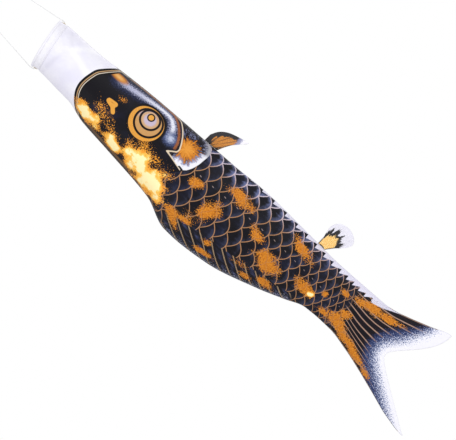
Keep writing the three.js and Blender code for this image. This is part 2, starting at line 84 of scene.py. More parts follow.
view_right = camera.matrix_world.to_3x3() @ Vector((1, 0, 0))
view_up = camera.matrix_world.to_3x3() @ Vector((0, 1, 0))
for name, across, above, nearer, size, power in (
    ("key_light", 1.2, 2.4, 3.0, 2.2, 54),
    ("fill_light", -2.6, -0.6, 2.6, 2.4, 40),
    ("back_light", 0.0, 2.0, -2.6, 2.0, 30),
):
    lamp = bpy.data.objects.new(name, bpy.data.lights.new(name, "AREA"))
    bpy.context.scene.collection.objects.link(lamp)
    lamp.data.size = size
    lamp.data.energy = power
    lamp.location = aim + view_right * across + view_up * above + Vector((0, -nearer, 0))
    lamp.rotation_mode = "QUATERNION"
    lamp.rotation_quaternion = (aim - lamp.location).to_track_quat("-Z", "Y")

# The air is a soft white dome, and behind everything stands a brighter white sweep.
DOME_LIGHT, SWEEP_LIGHT = 0.66, 1.0
world = bpy.data.worlds.new("studio")
bpy.context.scene.world = world
world.use_nodes = True
nodes, links = world.node_tree.nodes, world.node_tree.links
nodes.clear()
choose = nodes.new("ShaderNodeMixShader")
links.new(nodes.new("ShaderNodeLightPath").outputs["Is Camera Ray"], choose.inputs[0])
for k, strength in ((1, DOME_LIGHT), (2, SWEEP_LIGHT)):
    background = nodes.new("ShaderNodeBackground")
    background.inputs["Color"].default_value = (1, 1, 1, 1)
    background.inputs["Strength"].default_value = strength
    links.new(background.outputs[0], choose.inputs[k])
links.new(choose.outputs[0], nodes.new("ShaderNodeOutputWorld").inputs[0])


class Net:
    """Writes shader nodes as sums: values of this class add, multiply and divide as numbers do."""

    def __init__(self, tree, socket=None):
        self.tree, self.socket = tree, socket

    def feed(self, entry, value):
        """Wires a value into an input, or writes a constant there."""
        if isinstance(value, Net):
            self.tree.links.new(value.socket, entry)
        else:
            entry.default_value = value

    def node(self, kind, inputs=(), **settings):
        made = self.tree.nodes.new(kind)
        for key, value in settings.items():
            setattr(made, key, value)
        for key, value in dict(inputs).items():
            self.feed(made.inputs[key], value)
        return made

    def out(self, made, key=0):
        return Net(self.tree, made.outputs[key])

    def math(self, operation, *values):
        return self.out(self.node("ShaderNodeMath", dict(enumerate(values)), operation=operation))

    def ramp(self, low, high, start=0.0, end=1.0):
        """start below low, end above high, and smooth between them."""
        return self.out(self.node("ShaderNodeMapRange", {
            "Value": self, "From Min": low, "From Max": high, "To Min": start, "To Max": end,
        }, interpolation_type="SMOOTHSTEP"))

    def fade(self, low, high, start=1.0):
        """start below low, nothing above high."""
        return self.ramp(low, high, start, 0.0)

    def line(self, width, soft):
        """1 within width / 2 of nought, 0 beyond it."""
        return abs(self).fade(width / 2 - soft, width / 2 + soft)

    def mix(self, other, share):
        """This colour, turned towards other by share."""
        other = other if isinstance(other, Net) else (*shade(other), 1)
        return self.out(self.node("ShaderNodeMix", {0: share, 6: self, 7: other}, data_type="RGBA"), 2)

    def colour(self, hexed):
        made = self.node("ShaderNodeRGB")
        made.outputs[0].default_value = (*shade(hexed), 1)
        return self.out(made)

    def attributes(self, names):
        return [self.out(self.node("ShaderNodeAttribute", attribute_name=name), "Fac")
                for name in names.split()]

    def place(self):
        return self.out(self.node("ShaderNodeTexCoord"), "Object")

    def parts(self, size=1):
        """X, Y and Z of the place, times a size."""
        spread = self.node("ShaderNodeSeparateXYZ", {"Vector": self.place()})
        return [self.out(spread, k) * size for k in range(3)]

    def point(self, x, y):
        return self.out(self.node("ShaderNodeCombineXYZ", {"X": x, "Y": y}))

    def noise(self, place, scale, detail=2.0, rough=0.5):
        return self.out(self.node("ShaderNodeTexNoise", {
            "Vector": place, "Scale": scale, "Detail": detail, "Roughness": rough}))


for name, operation in (("add", "ADD"), ("sub", "SUBTRACT"), ("mul", "MULTIPLY"), ("truediv", "DIVIDE")):
    setattr(Net, f"__{name}__", lambda a, b, does=operation: a.math(does, a, b))
    setattr(Net, f"__r{name}__", lambda a, b, does=operation: a.math(does, b, a))
for name, operation in (("__abs__", "ABSOLUTE"), ("root", "SQRT"), ("fract", "FRACT"), ("floor", "FLOOR"),
                        ("sine", "SINE")):
    setattr(Net, name, lambda a, does=operation: a.math(does, a))
for name, operation in (("least", "MINIMUM"), ("most", "MAXIMUM")):
    setattr(Net, name, lambda a, b, does=operation: a.math(does, a, b))


def shade(hexed):
    """A colour given as it looks on a screen, as linear red, green and blue."""
    parts = [int(hexed[i:i + 2], 16) / 255 for i in (0, 2, 4)]
    return tuple(p / 12.92 if p < 0.04045 else ((p + 0.055) / 1.055) ** 2.4 for p in parts)


def material(name, roughness=0.5, metallic=0.0, **shader):
    """A new material and the writer of its nodes. The finish's constants go on the shader itself."""
    made = bpy.data.materials.new(name)
    made.use_nodes = True
    tree = made.node_tree
    surface = tree.nodes["Principled BSDF"]
    surface.inputs["Roughness"].default_value = roughness
    surface.inputs["Metallic"].default_value = metallic
    for key, value in shader.items():
        surface.inputs[key.replace("_", " ")].default_value = value
    return made, Net(tree), surface


def connect(net, surface, height=None, strength=0.3, distance=0.0005, **sockets):
    """Wires colours, masks and a bump height into a surface."""
    for key, value in sockets.items():
        net.tree.links.new(value.socket, surface.inputs[key.replace("_", " ")])
    if height is not None:
        bump = net.node("ShaderNodeBump", {"Height": height, "Strength": strength, "Distance": distance})
        net.tree.links.new(bump.outputs[0], surface.inputs["Normal"])


def piece(name, points, faces, look, smooth=True):
    """A mesh object in the scene, in metres."""
    data = bpy.data.meshes.new(name)
    data.from_pydata([tuple(p) for p in points], [], [tuple(f) for f in faces])
    data.polygons.foreach_set("use_smooth", [smooth] * len(data.polygons))
    made = bpy.data.objects.new(name, data)
    bpy.context.scene.collection.objects.link(made)
    data.materials.append(look)
    data.update()
    return made


def full_turn(count):
    return np.linspace(0, 2 * math.pi, count, endpoint=False)


FLOOR_Z, FLOOR_RADIUS = MOUTH_Z - 2.1, 4.2
floor_look, net, surface = material("floor_paper", 0.9)
grain = net.noise(net.place(), 3.0)
connect(net, surface, Base_Color=net.colour("f4f4f2").mix("fafaf8", grain))
turn = full_turn(128)
floor = piece("studio_floor", np.stack([
    FLOOR_RADIUS * np.cos(turn), FLOOR_RADIUS * np.sin(turn), 0 * turn + FLOOR_Z
], 1), [tuple(range(len(turn)))], floor_look)

# ---------------------------------------------------------------- bridle lines
# Two legs of 2 mm white braided polyester cord. Each comes out of an eyelet in the mouth hem, turns up
# over the hoop, and runs straight to the ring, where both are hitched.
CORD = 1.0 * MM


def tube(route, radius, sides=12, closed=False):
    """Points and faces of a round tube along a route, closed on itself or at both ends."""
    route = np.asarray(route, float)
    count = len(route)
    if closed:
        heading = np.roll(route, -1, 0) - np.roll(route, 1, 0)
    else:
        heading = np.gradient(route, axis=0)
    heading /= np.linalg.norm(heading, axis=1, keepdims=True)
    side = np.cross(heading[0], [0.3, 1.0, 0.2])
    sides_at = []
    for way in heading:
        side = side - way * side.dot(way)
        side /= np.linalg.norm(side)
        sides_at.append(side.copy())
    sides_at = np.array(sides_at)
    if closed:
        lifts = np.cross(heading[0], sides_at[0])
        slip = math.atan2(sides_at[-1].dot(lifts), sides_at[-1].dot(sides_at[0]))
        turn = -slip * np.arange(count)[:, None] / count
        other = np.cross(heading, sides_at)
        sides_at = sides_at * np.cos(turn) + other * np.sin(turn)
    other = np.cross(heading, sides_at)
    radii = np.broadcast_to(np.asarray(radius, float).reshape(-1, 1, 1), (count, 1, 1))
    angle = full_turn(sides)[None, :, None]
    rings = route[:, None] + radii * (sides_at[:, None] * np.cos(angle) + other[:, None] * np.sin(angle))
    points = rings.reshape(-1, 3).tolist()
    faces = []
    for i in range(count if closed else count - 1):
        after = (i + 1) % count
        for j in range(sides):
            k = (j + 1) % sides
            faces.append((i * sides + j, i * sides + k, after * sides + k, after * sides + j))
    if not closed:
        faces.append(tuple(range(sides))[::-1])
        faces.append(tuple((count - 1) * sides + j for j in range(sides)))
    return points, faces


def smooth_route(points, step):
    """A Catmull-Rom line through points, cut into lengths of about step."""
    points = np.asarray(points, float)
    ends = np.vstack([2 * points[0] - points[1], points, 2 * points[-1] - points[-2]])
    out = [points[:1]]
    for i in range(len(points) - 1):
        a, b, c, d = ends[i:i + 4]
        parts = max(2, int(np.linalg.norm(c - b) / step))
        t = np.linspace(0, 1, parts + 1)[1:, None]
        out.append(0.5 * (2 * b + (c - a) * t + (2 * a - 5 * b + 4 * c - d) * t ** 2
                          + (3 * b - a - 3 * c + d) * t ** 3))
    return np.vstack(out)


def settle(made, body, slot, *nodes):
    """Lets a piece ride on a body, in the place of solids, which are hidden. slot is not used."""
    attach(made, body)
    if nodes:
        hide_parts(*nodes)


cord_look, net, surface = material("white_braid", 0.75, Sheen_Weight=0.3)
x, y, z = net.parts()
strands, counter = (z * 1600 + (x + y) * 2400).sine(), (z * 1600 - (x - y) * 2400).sine()
weave = strands.most(counter)
fluff = net.noise(net.place(), 900.0)
# Painted shade: the cord is greyer in the grooves between the strands, and the fluff varies it at random.
tone = net.colour("f0f0f2").mix("b9b9bd", weave.fade(-0.6, 0.9, 0.45) + fluff * 0.15)
connect(net, surface, weave, 0.5, 0.0003, Base_Color=tone)

TILT = math.radians(8)
HEM_OUTER = 75.45
KNOT_X, EYELET_Z = 67.65, -11
LEG_SPREAD = 1.6
LEG_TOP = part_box("ring_hitch")[0].z + 0.8 * MM


def tilted(x, y, z):
    """A place given in mm from the middle of the mouth hoop, on the hoop's slant, in metres."""
    turn, lift = math.cos(TILT), math.sin(TILT)
    return np.stack(np.broadcast_arrays(
        (x * turn - z * lift) * MM, np.asarray(y) * MM, MOUTH_Z + (x * lift + z * turn) * MM), -1)


for name, outward in (("back", -1), ("belly", 1)):
    turn_out = [
        (KNOT_X - 2, EYELET_Z), (KNOT_X + 3.5, EYELET_Z), (HEM_OUTER, EYELET_Z), (HEM_OUTER + 2.4, -10.6),
        (HEM_OUTER + 4.4, -8.4), (HEM_OUTER + 5, -5), (HEM_OUTER + 5, 0), (HEM_OUTER + 4.6, 6),
    ]
    low = [tuple(tilted(outward * x, 0, z)) for x, z in turn_out]
    top = np.array((outward * LEG_SPREAD * MM, 0, LEG_TOP))
    leg = [tuple(low[-1] + (top - low[-1]) * part) for part in (0.04, 0.3, 0.65, 1)]
    line = piece(f"cord_{name}", *tube(smooth_route(low + leg, 2 * MM), CORD), cord_look)
    settle(line, "bridle", "cord", f"bridle_line_{name}")

# ---------------------------------------------------------------- side panels
# Two matching panels of thin polyester, printed right through, sewn to each other along the back and
# the belly. The mouth end is left white. Wind fills the fish, and the mouth slants towards the back.
FISH = 1500.0
LEAN_LENGTH = 110.0
BACK_REACH, BELLY_REACH = 180.0, 91.0
BODY_DEPTH, ROOT_DEPTH, OUTLET_DEPTH = 66.0, 27.0, 8.0
PANEL_TOP, PANEL_RADIUS, SEAM_HALF = 24.3, 74.85, 1.6
MOUTH_HALF = PANEL_RADIUS * math.cos(TILT)
MOUTH_LEAN = PANEL_TOP * math.sin(TILT)
TAIL_START = 1085.15
BACK_TIP, BELLY_TIP, NOTCH = (1500.0, -178.0), (1420.0, 128.0), (1312.0, -35.0)
NOTCH_ROUND = 0.12
CLOTH, SEAM_CLEAR = 0.5, 0.3
STEP = 4.6
ACROSS = 84


def through(points):
    """A smooth curve through points that never overshoots them, as a function of arrays."""
    x, y = np.array(points, float).T
    rise = np.diff(y) / np.diff(x)
    slope = np.zeros(len(x))
    before, after = rise[:-1], rise[1:]
    steady = before * after > 0
    slope[1:-1][steady] = 2 * before[steady] * after[steady] / (before + after)[steady]

    def at(value):
        value = np.asarray(value, float)
        i = np.clip(np.searchsorted(x, value) - 1, 0, len(x) - 2)
        w = x[i + 1] - x[i]
        t = np.clip((value - x[i]) / w, 0, 1)
        level = y[i] * (1 + 2 * t) * (1 - t) ** 2 + y[i + 1] * t * t * (3 - 2 * t)
        return level + w * t * (1 - t) * (slope[i] * (1 - t) - slope[i + 1] * t)

    return at


def ease(value, low, high):
    t = np.clip((np.asarray(value, float) - low) / (high - low), 0, 1)
    return t * t * (3 - 2 * t)


back_shape = through([(0, 0), (0.1, 0.06), (0.15, 0.25), (0.22, 0.38), (0.335, 0.62), (0.4, 0.98), (0.43, 1),
                      (0.5, 0.93), (0.61, 0.53), (0.66, 0.28), (0.7, 0.08), (0.745, 0.06)])
belly_shape = through([(0, 0), (0.1, 0.12), (0.15, 0.45), (0.24, 0.75), (0.42, 0.82), (0.49, 1),
                       (0.61, 0.4), (0.7, -0.1), (0.79, -0.16)])
depth_shape = through([(0, 0), (0.3, 0.3), (0.42, 1), (0.745, 1)])
thin_shape = through([(0.42, 0), (0.58, 0.34), (0.745, 1)])
lens_shape = through([(0, 1), (0.2, 1.08), (0.45, 1.25), (0.745, 1.5)])
back_lobe = through([(0, 0), (0.14, 0.02), (0.31, 0.17), (0.48, 0.38), (0.65, 0.62), (0.83, 0.87), (1, 1)])
belly_lobe = through([(0, 0), (0.38, 0), (0.5, 0.08), (0.6, 0.24), (0.81, 0.64), (1, 1)])


def mouth_slip(s):
    return MOUTH_LEAN * (1 - ease(s, PANEL_TOP, PANEL_TOP + LEAN_LENGTH))


def back_edge(s):
    return mouth_slip(s) - MOUTH_HALF - (BACK_REACH - MOUTH_HALF) * back_shape(s / FISH)


def belly_edge(s):
    return mouth_slip(s) + MOUTH_HALF + (BELLY_REACH - MOUTH_HALF) * belly_shape(s / FISH)


def mouth_end(x):
    return PANEL_TOP / math.cos(TILT) - x * math.tan(TILT)


def depth(s):
    body = PANEL_RADIUS + (BODY_DEPTH - PANEL_RADIUS) * depth_shape(s / FISH)
    return body + (ROOT_DEPTH - BODY_DEPTH) * thin_shape(s / FISH)


def lobe_side(tip, lobe, root, t):
    return TAIL_START + (tip[0] - TAIL_START) * t, root + (tip[1] - root) * lobe(t)


def trailing_edge(u):
    v = np.abs(2 * u - 1)
    rounded = (np.hypot(v, NOTCH_ROUND) - NOTCH_ROUND) / (math.hypot(1, NOTCH_ROUND) - NOTCH_ROUND)
    to_back = u < 0.5
    out = np.where(to_back, rounded, np.sin(rounded * math.pi / 2))
    tip_s = np.where(to_back, BACK_TIP[0], BELLY_TIP[0])
    tip_x = np.where(to_back, BACK_TIP[1], BELLY_TIP[1])
    return NOTCH[0] + (tip_s - NOTCH[0]) * out, NOTCH[1] + (tip_x - NOTCH[1]) * v


def tail_plan(r, u):
    """A place on the flat tail: r from its root to its trailing edge, u from the back to the belly."""
    root_back, root_belly = back_edge(TAIL_START), belly_edge(TAIL_START)
    back = lobe_side(BACK_TIP, back_lobe, root_back, r)
    belly = lobe_side(BELLY_TIP, belly_lobe, root_belly, r)
    end = trailing_edge(u)
    root = (TAIL_START, root_back + (root_belly - root_back) * u)
    corners = ((TAIL_START, root_back), (TAIL_START, root_belly), BACK_TIP, BELLY_TIP)
    return tuple(
        back[k] * (1 - u) + belly[k] * u + root[k] * (1 - r) + end[k] * r
        - corners[0][k] * (1 - r) * (1 - u) - corners[1][k] * (1 - r) * u
        - corners[2][k] * r * (1 - u) - corners[3][k] * r * u
        for k in (0, 1)
    )


# Rows of points from the mouth to the end of the tail, columns from the back seam to the belly seam.
angle = np.linspace(0, math.pi, ACROSS + 1)[None, :]
body_rows = int((TAIL_START - PANEL_TOP) / STEP)
tail_rows = 74
share = (np.arange(body_rows) / body_rows)[:, None]
first = mouth_end(MOUTH_LEAN - MOUTH_HALF * np.cos(angle))
body_s = PANEL_TOP + (TAIL_START - PANEL_TOP) * share + (first - PANEL_TOP) * (1 - ease(share, 0, 0.16))
half = (belly_edge(body_s) - back_edge(body_s)) / 2
body_x = back_edge(body_s) + half - half * np.cos(angle)
body_y = SEAM_HALF + (depth(body_s) - SEAM_HALF) * np.sin(angle) ** lens_shape(body_s / FISH)
r = (np.arange(tail_rows + 1) / tail_rows)[:, None]
u = (1 - np.cos(angle)) / 2
tail_s, tail_x = tail_plan(r, u)
tail_half = depth(TAIL_START) + (OUTLET_DEPTH - depth(TAIL_START)) * r
tail_y = SEAM_HALF + (tail_half - SEAM_HALF) * np.sin(angle) ** lens_shape(TAIL_START / FISH)
cloth_s = np.vstack([body_s, tail_s])
cloth_x = np.vstack([body_x, tail_x])
cloth_y = np.vstack([body_y, tail_y])
rows, columns = cloth_s.shape
fan = np.vstack([np.zeros((body_rows, 1)), r]) * np.ones((1, columns))
ray = u * np.ones((rows, 1))

# The flat place of each point: how far along, and how far across the cloth from the middle line.
steps = np.hypot(np.diff(cloth_x, axis=1), np.diff(cloth_y, axis=1))
arc = np.hstack([np.zeros((rows, 1)), np.cumsum(steps, 1)])
middle = np.array([np.interp(0, cloth_x[i], arc[i]) for i in range(rows)])
cloth_w = arc - middle[:, None]
girth = arc[:, -1:]


def flat(s, x):
    """The place across the cloth, for a place seen x from the middle line."""
    if s >= TAIL_START:
        return x
    i = int(np.argmin(np.abs(cloth_s[:body_rows, ACROSS // 2] - s)))
    return float(np.interp(x, cloth_x[i], cloth_w[i]))


def flat_line(points):
    return np.array([(s, flat(s, x)) for s, x in points], float)


def line_distance(points):
    """The distance of every cloth point from a line through flat points."""
    best = np.full(cloth_s.shape, 1e9)
    for (s0, w0), (s1, w1) in zip(points[:-1], points[1:]):
        ds, dw = s1 - s0, w1 - w0
        t = np.clip(((cloth_s - s0) * ds + (cloth_w - w0) * dw) / (ds * ds + dw * dw), 0, 1)
        best = np.minimum(best, np.hypot(cloth_s - s0 - t * ds, cloth_w - w0 - t * dw))
    return best


def beyond(points):
    """The distance from a line that runs across the cloth, less than nought on its mouth side."""
    line = points[np.argsort(points[:, 1])]
    sign = np.sign(cloth_s - np.interp(cloth_w, line[:, 1], line[:, 0]))
    return line_distance(points) * sign


def curve(points):
    """Flat points on a smooth line through a few places."""
    return smooth_route([(s, w, 0) for s, w in flat_line(points)], 6.0)[:, :2]


def blobs(patches):
    """A field that is 1 in the middle of each patch and 0 at its edge and beyond."""
    field = np.zeros(cloth_s.shape)
    wander = 0.12 * (np.sin(cloth_s / 9 + cloth_w / 14) + np.sin(cloth_s / 13 - cloth_w / 7 + 1)
                     + np.sin(cloth_s / 23 + 2) * np.sin(cloth_w / 19))
    for s, x, long, wide, turn, strength in patches:
        ds, dw = cloth_s - s, cloth_w - flat(s, x)
        c, n = math.cos(math.radians(turn)), math.sin(math.radians(turn))
        away = np.hypot((ds * c + dw * n) / long, (dw * c - ds * n) / wide)
        field = np.maximum(field, strength * np.clip(1.55 - 0.95 * (away + wander), 0, 1.3))
    return field


GILL_REAR = [(540, 96), (556, 76), (562, 62), (559, 42), (557, 27), (550, 5), (539, -13)]
lip = beyond(curve([(228, 96), (208, 84), (190, 70), (172, 52), (159, 36), (152, 14), (148, -6), (147, -24),
                    (151, -44), (160, -61), (174, -78), (194, -94)]))
behind_gill = beyond(curve(GILL_REAR + [(525, -20), (503, -17)]))
cheek = line_distance(curve([(228, 56), (270, 62), (320, 68), (366, 73), (404, 73), (426, 62), (437, 46),
                             (438, 36)]))
jaw_edge = line_distance(curve([(300, 80), (345, 87), (390, 88), (425, 79), (450, 60), (468, 36), (474, 14)]))
cover = beyond(flat_line([(533, -24), (499, -15), (480, -10), (461, -6), (486, 11), (487, 20), (480, 36),
                          (469, 54), (455, 70), (436, 84), (410, 96)]))
crown = line_distance(curve([(196, -82), (260, -99), (340, -109), (430, -122), (500, -145)]))
body_starts = beyond(flat_line(GILL_REAR + [(528, -26), (506, -48), (498, -80), (503, -112), (520, -150)]))

# Each patch: its middle, half its length and half its width, its turn in degrees, and its strength.
flush = blobs([
    (587, -20, 20, 16, 0, 1), (710, 31, 43, 20, -8, 1), (664, -56, 34, 25, 60, 1), (588, -126, 34, 13, 10, 1),
    (625, -121, 28, 8, 3, 1), (607, -145, 28, 11, -35, 1), (719, -128, 14, 11, 0, 0.8),
    (727, -157, 32, 9, 5, 1), (810, -18, 26, 15, -25, 1), (884, -60, 42, 27, -5, 1),
    (919, -109, 27, 13, -5, 1), (938, 36, 44, 16, -20, 0.9), (1012, -44, 34, 17, -10, 1),
    (1067, -18, 10, 9, 0, 0.9), (1113, 22, 15, 9, 0, 1), (1138, -55, 34, 19, 0, 1),
    (1152, -23, 17, 14, 0, 0.9), (860, -129, 25, 9, 0, 0.75), (1186, 38, 52, 15, 9, 1),
    (1250, 47, 44, 12, 12, 0.95), (1176, -70, 46, 15, -17, 1), (1246, -94, 56, 12, -19, 1),
    (1300, -113, 26, 8, -20, 0.9), (276, 22, 17, 11, 20, 0.62), (1100, -62, 24, 10, 0, 0.8),
    (831, -112, 30, 14, 0, 0.5), (633, -104, 26, 14, 0, 0.48),
])
foil = blobs([
    (222, -76, 52, 24, -8, 1.1), (328, -92, 40, 20, -12, 1.1), (420, -84, 52, 38, -18, 1.15),
    (482, -108, 60, 40, -18, 1.15), (1038, -46, 13, 8, 35, 1), (250, -40, 56, 28, -20, 0.45),
    (430, -46, 90, 26, -12, 0.47), (300, -66, 60, 22, -10, 0.45), (500, -62, 34, 36, 0, 0.5),
])
nostril = np.minimum(line_distance(flat_line([(245, -5), (266, -3)])) - 7.5,
                     line_distance(flat_line([(248, -8), (264, -12), (275, -24)])) - 6)

# Where each row of scales ends, from the row numbered -4, and how rows and lanes narrow to the tail.
row_ends = (467, 511, 557, 603, 649, 695, 741, 787, 835, 880, 921, 959, 994, 1027, 1058, 1085, 1109, 1132,
            1155, 1178)
row = through([(at, k - 4) for k, at in enumerate(row_ends)])(cloth_s)
pitch = np.interp(cloth_s, [560, 830, 1000, 1150], [47, 43, 35, 23])
lane_pitch = np.interp(cloth_s, [670, 856, 1098, 1150], [38, 32, 24, 22])
lateral = np.interp(cloth_s, [560, 856, 1047, 1129], [3, 3, -11, -19])
lane = (cloth_w - lateral) / lane_pitch
trailing = np.stack(trailing_edge(np.linspace(0, 1, 160)), 1)
reach = np.min([np.hypot(cloth_s - s, cloth_x - x) for s, x in trailing], axis=0)
from_belly, from_back = girth - arc, arc
dorsal_line = np.array(flat_line([(530, -138), (640, -126), (712, -114), (755, -113), (827, -103), (950, -90),
                                  (998, -79), (1010, -79)]))
dorsal = np.interp(cloth_s[:, ACROSS // 2], *dorsal_line.T)[:, None] - cloth_w

# Creases and soft billows, none at the seams, where the tape holds the cloth.
draw = np.random.default_rng(11)
held = np.sin(angle) ** 0.7
ripple = np.zeros(cloth_s.shape)
for k in range(26):
    size = draw.uniform(60, 240)
    way = draw.normal(0, 0.5)
    phase = draw.uniform(0, 2 * math.pi)
    ripple += draw.uniform(0.15, 0.5) * size / 130 * np.sin(
        2 * math.pi * (cloth_s * math.sin(way) + cloth_w * math.cos(way)) / size + phase)
pucker = np.zeros(cloth_s.shape)
for k in range(14):
    size = draw.uniform(14, 34)
    phase = draw.uniform(0, 2 * math.pi)
    pucker += draw.uniform(0.1, 0.35) * np.sin(2 * math.pi * cloth_s / size + phase)
from_seam = np.minimum(from_belly, from_back)
near_seam = np.exp(-from_seam / 22) * ease(from_seam, 0, 7)
sleeve = 1 - ease(cloth_s, 120, 190)
crease_at = line_distance(flat_line([(46, -66), (50, -20), (56, 16), (74, 34), (52, 52), (38, 72)]))
fold_at = line_distance(flat_line([(150, 10), (104, 26), (74, 34), (96, 60), (128, 74)]))
bend_in = -2.6 * np.exp(-(crease_at / 9) ** 2) + 1.6 * np.exp(-(fold_at / 9) ** 2)
swell = held * (0.8 * ripple * (1 + 0.5 * sleeve)) + near_seam * pucker * 1.6 + sleeve * held * bend_in
swell *= ease(cloth_s - first, 0, 16) * (1 - 0.6 * ease(reach, 25, 0))
surface_y = cloth_y + np.where(fan > 0, 0.35 * (1 - 0.3 * fan), 1.0) * swell * np.sin(angle) ** 0.5
fields = dict(
    along=cloth_s, across=cloth_w, lip=lip, gill=behind_gill, body=body_starts, cheek=cheek,
    jaw_edge=jaw_edge, cover=cover, crown=crown, nostril=nostril, flush=flush, foil=foil, row=row, lane=lane,
    pitch=pitch, lane_pitch=lane_pitch, dorsal=dorsal, belly=from_belly, back=from_back, end=reach, fan=fan,
    ray=ray, crease=crease_at, fold=fold_at)



def grid_normals(points):
    along = np.gradient(points, axis=0)
    across = np.gradient(points, axis=1)
    normal = np.cross(across, along)
    return normal / np.maximum(np.linalg.norm(normal, axis=2, keepdims=True), 1e-9)


def node_group(name, inputs, outputs):
    """A shader node group of numbers, the writer of its nodes, its inputs, and what takes its outputs."""
    tree = bpy.data.node_groups.new(name, "ShaderNodeTree")
    for way, keys in (("INPUT", inputs), ("OUTPUT", outputs)):
        for key in keys:
            tree.interface.new_socket(key, in_out=way, socket_type="NodeSocketFloat")
    given, result = tree.nodes.new("NodeGroupInput"), tree.nodes.new("NodeGroupOutput")
    net = Net(tree)

    def give(**values):
        for key, value in values.items():
            tree.links.new(value.socket, result.inputs[key])

    return tree, net, [net.out(given, key) for key in inputs], give


def placed(net, tree, *outputs, **inputs):
    """A node group put into a material, as the values of its outputs."""
    made = net.node("ShaderNodeGroup", (), node_tree=tree)
    for key, value in inputs.items():
        net.feed(made.inputs[key], value)
    return [net.out(made, key) for key in outputs]


# Plain-woven polyester: threads over and under each other, with slubs and faint bars.
weave_group, net, (across, along, thread), give = node_group(
    "polyester_weave", ("Across", "Along", "Thread"), ("Height", "Bars"))
over = (across / thread * math.pi).sine() * (along / thread * math.pi).sine()
bars = net.noise(net.point(across * 0.02, along * 0.6), 1.0, 3.0)
give(Height=over * 0.5 + bars * 0.5, Bars=bars)

INK, BLUE_SHEEN, MAROON = "0c0a12", "2a3158", "22121c"
TAN, GLOW, ORANGE, AMBER = "ad7f5a", "d2cde4", "bd6d16", "d68a2a"
WHITE, LILAC = "f0eff6", "e1dff0"
THREAD = 0.45

print_look, net, surface = material("printed_polyester", 0.5, Sheen_Weight=0.05, Sheen_Roughness=0.5,
                                    Specular_IOR_Level=0.13)
s, w, inner, lip, gill, body, belly, back, end, fan, ray, flush, foil = net.attributes(
    "along across inner lip gill body belly back end fan ray flush foil")
place = net.point(s, w)
height, = placed(net, weave_group, "Height", Across=w, Along=s, Thread=THREAD)
cloud = net.noise(place, 0.012, 3.0, 0.55)
# Two screens of spray, fine and coarse, each either side of nought.
grit = net.noise(place, 0.42, 2.0, 0.7)
speck = net.noise(place, 0.22, 3.0, 0.7)
fine, coarse = grit - 0.5, speck - 0.5


def dot(x, y, long, wide=None):
    """Distance from a place, in units of a size, with one size along and another across."""
    a, b = (s - x) / long, (w - flat(x, y)) / (wide or long)
    return (a * a + b * b).root()


def layered(tone, *layers):
    """A colour with others laid over it in turn, each through its mask."""
    for tint, mask in layers:
        tone = tone.mix(tint, mask)
    return tone


# Head: black, with soft blue highlights, bands of the lip and the cheek, and the nostril.
cheek, jaw_edge, cover, crown, nostril = net.attributes("cheek jaw_edge cover crown nostril")
streaks = net.noise(net.point(s * 0.02, w * 0.12), 1.0, 3.0, 0.6)
blown = cheek + coarse * 46 + fine * 34
glow = dot(447, 27, 24, 21) + coarse * 1.3
jaw = dot(222, 64, 36, 17)
tone = layered(
    net.colour(INK),
    (BLUE_SHEEN, cloud.ramp(0.5, 0.85, 0.0, 0.35)),
    (MAROON, streaks.ramp(0.55, 0.9, 0.0, 0.5)),
    ("222948", blown.fade(14, 34, 0.9)),
    ("b4b6d2", blown.fade(3, 16, 0.95) * s.ramp(215, 262)),
    ("eef0fa", (cheek + coarse * 12).fade(1, 8, 0.8) * s.ramp(250, 400)),
    ("47547f", glow.fade(0.5, 1.4, 0.9)),
    ("c3cbe4", glow.fade(0.0, 0.85, 0.85)),
    ("8a5228", (abs(belly - 13) + coarse * 5).fade(2.5, 6, 0.85) * s.ramp(228, 262) * s.fade(400, 470)),
    ("9c5a2c", (jaw_edge + coarse * 9).fade(1.5, 6, 0.9) * s.ramp(300, 345)),
    ("7c5a35", crown.fade(2, 9, 0.8) * s.fade(480, 540)),
    ("06060a", crown.line(2.4, 0.9)),
    ("c9802e", jaw.fade(0.45, 1.15)),
    ("f0bd78", jaw.fade(0.1, 0.7, 0.7)),
)
for at, half_wide, tint in ((-0.5, 2.0, "f2f0f6"), (4.2, 3.6, "09080d"), (9.3, 1.6, "b8946a"),
                            (12.0, 1.5, "3a241c"), (14.6, 1.3, "dccfbd"), (18.4, 3.0, "09080d")):
    tone = tone.mix(tint, abs(lip - at).fade(half_wide - 0.7, half_wide + 0.7))

# Eye: pale and black rings, one inside the other, that lean towards the belly.
eye_outer, ring_outer = dot(367, 15, 53, 51), dot(371, 20, 39, 38)
ring_inner, pupil = dot(369, 29, 26, 25), dot(367, 36, 12.5, 13)
eye = layered(
    net.colour("d08c36"),
    ("e2a347", grit.ramp(0.35, 0.65)),
    ("0b090c", abs(ring_outer - 1.08).fade(0.07, 0.1)),
    ("c2935c", ring_outer.fade(0.97, 1.0)),
    ("b9a6b6", ring_outer.fade(0.97, 1.0) * (w - s * 0.5).ramp(-160, -128)),
    ("100c10", abs(ring_inner - 1.14).fade(0.1, 0.15)),
    ("c9a27a", ring_inner.fade(0.97, 1.0)),
    ("bfb0c2", ring_inner.fade(0.6, 0.85)),
    ("100c10", pupil.fade(0.93, 1.0)),
    ("dfa045", pupil.fade(0.6, 0.68)),
)

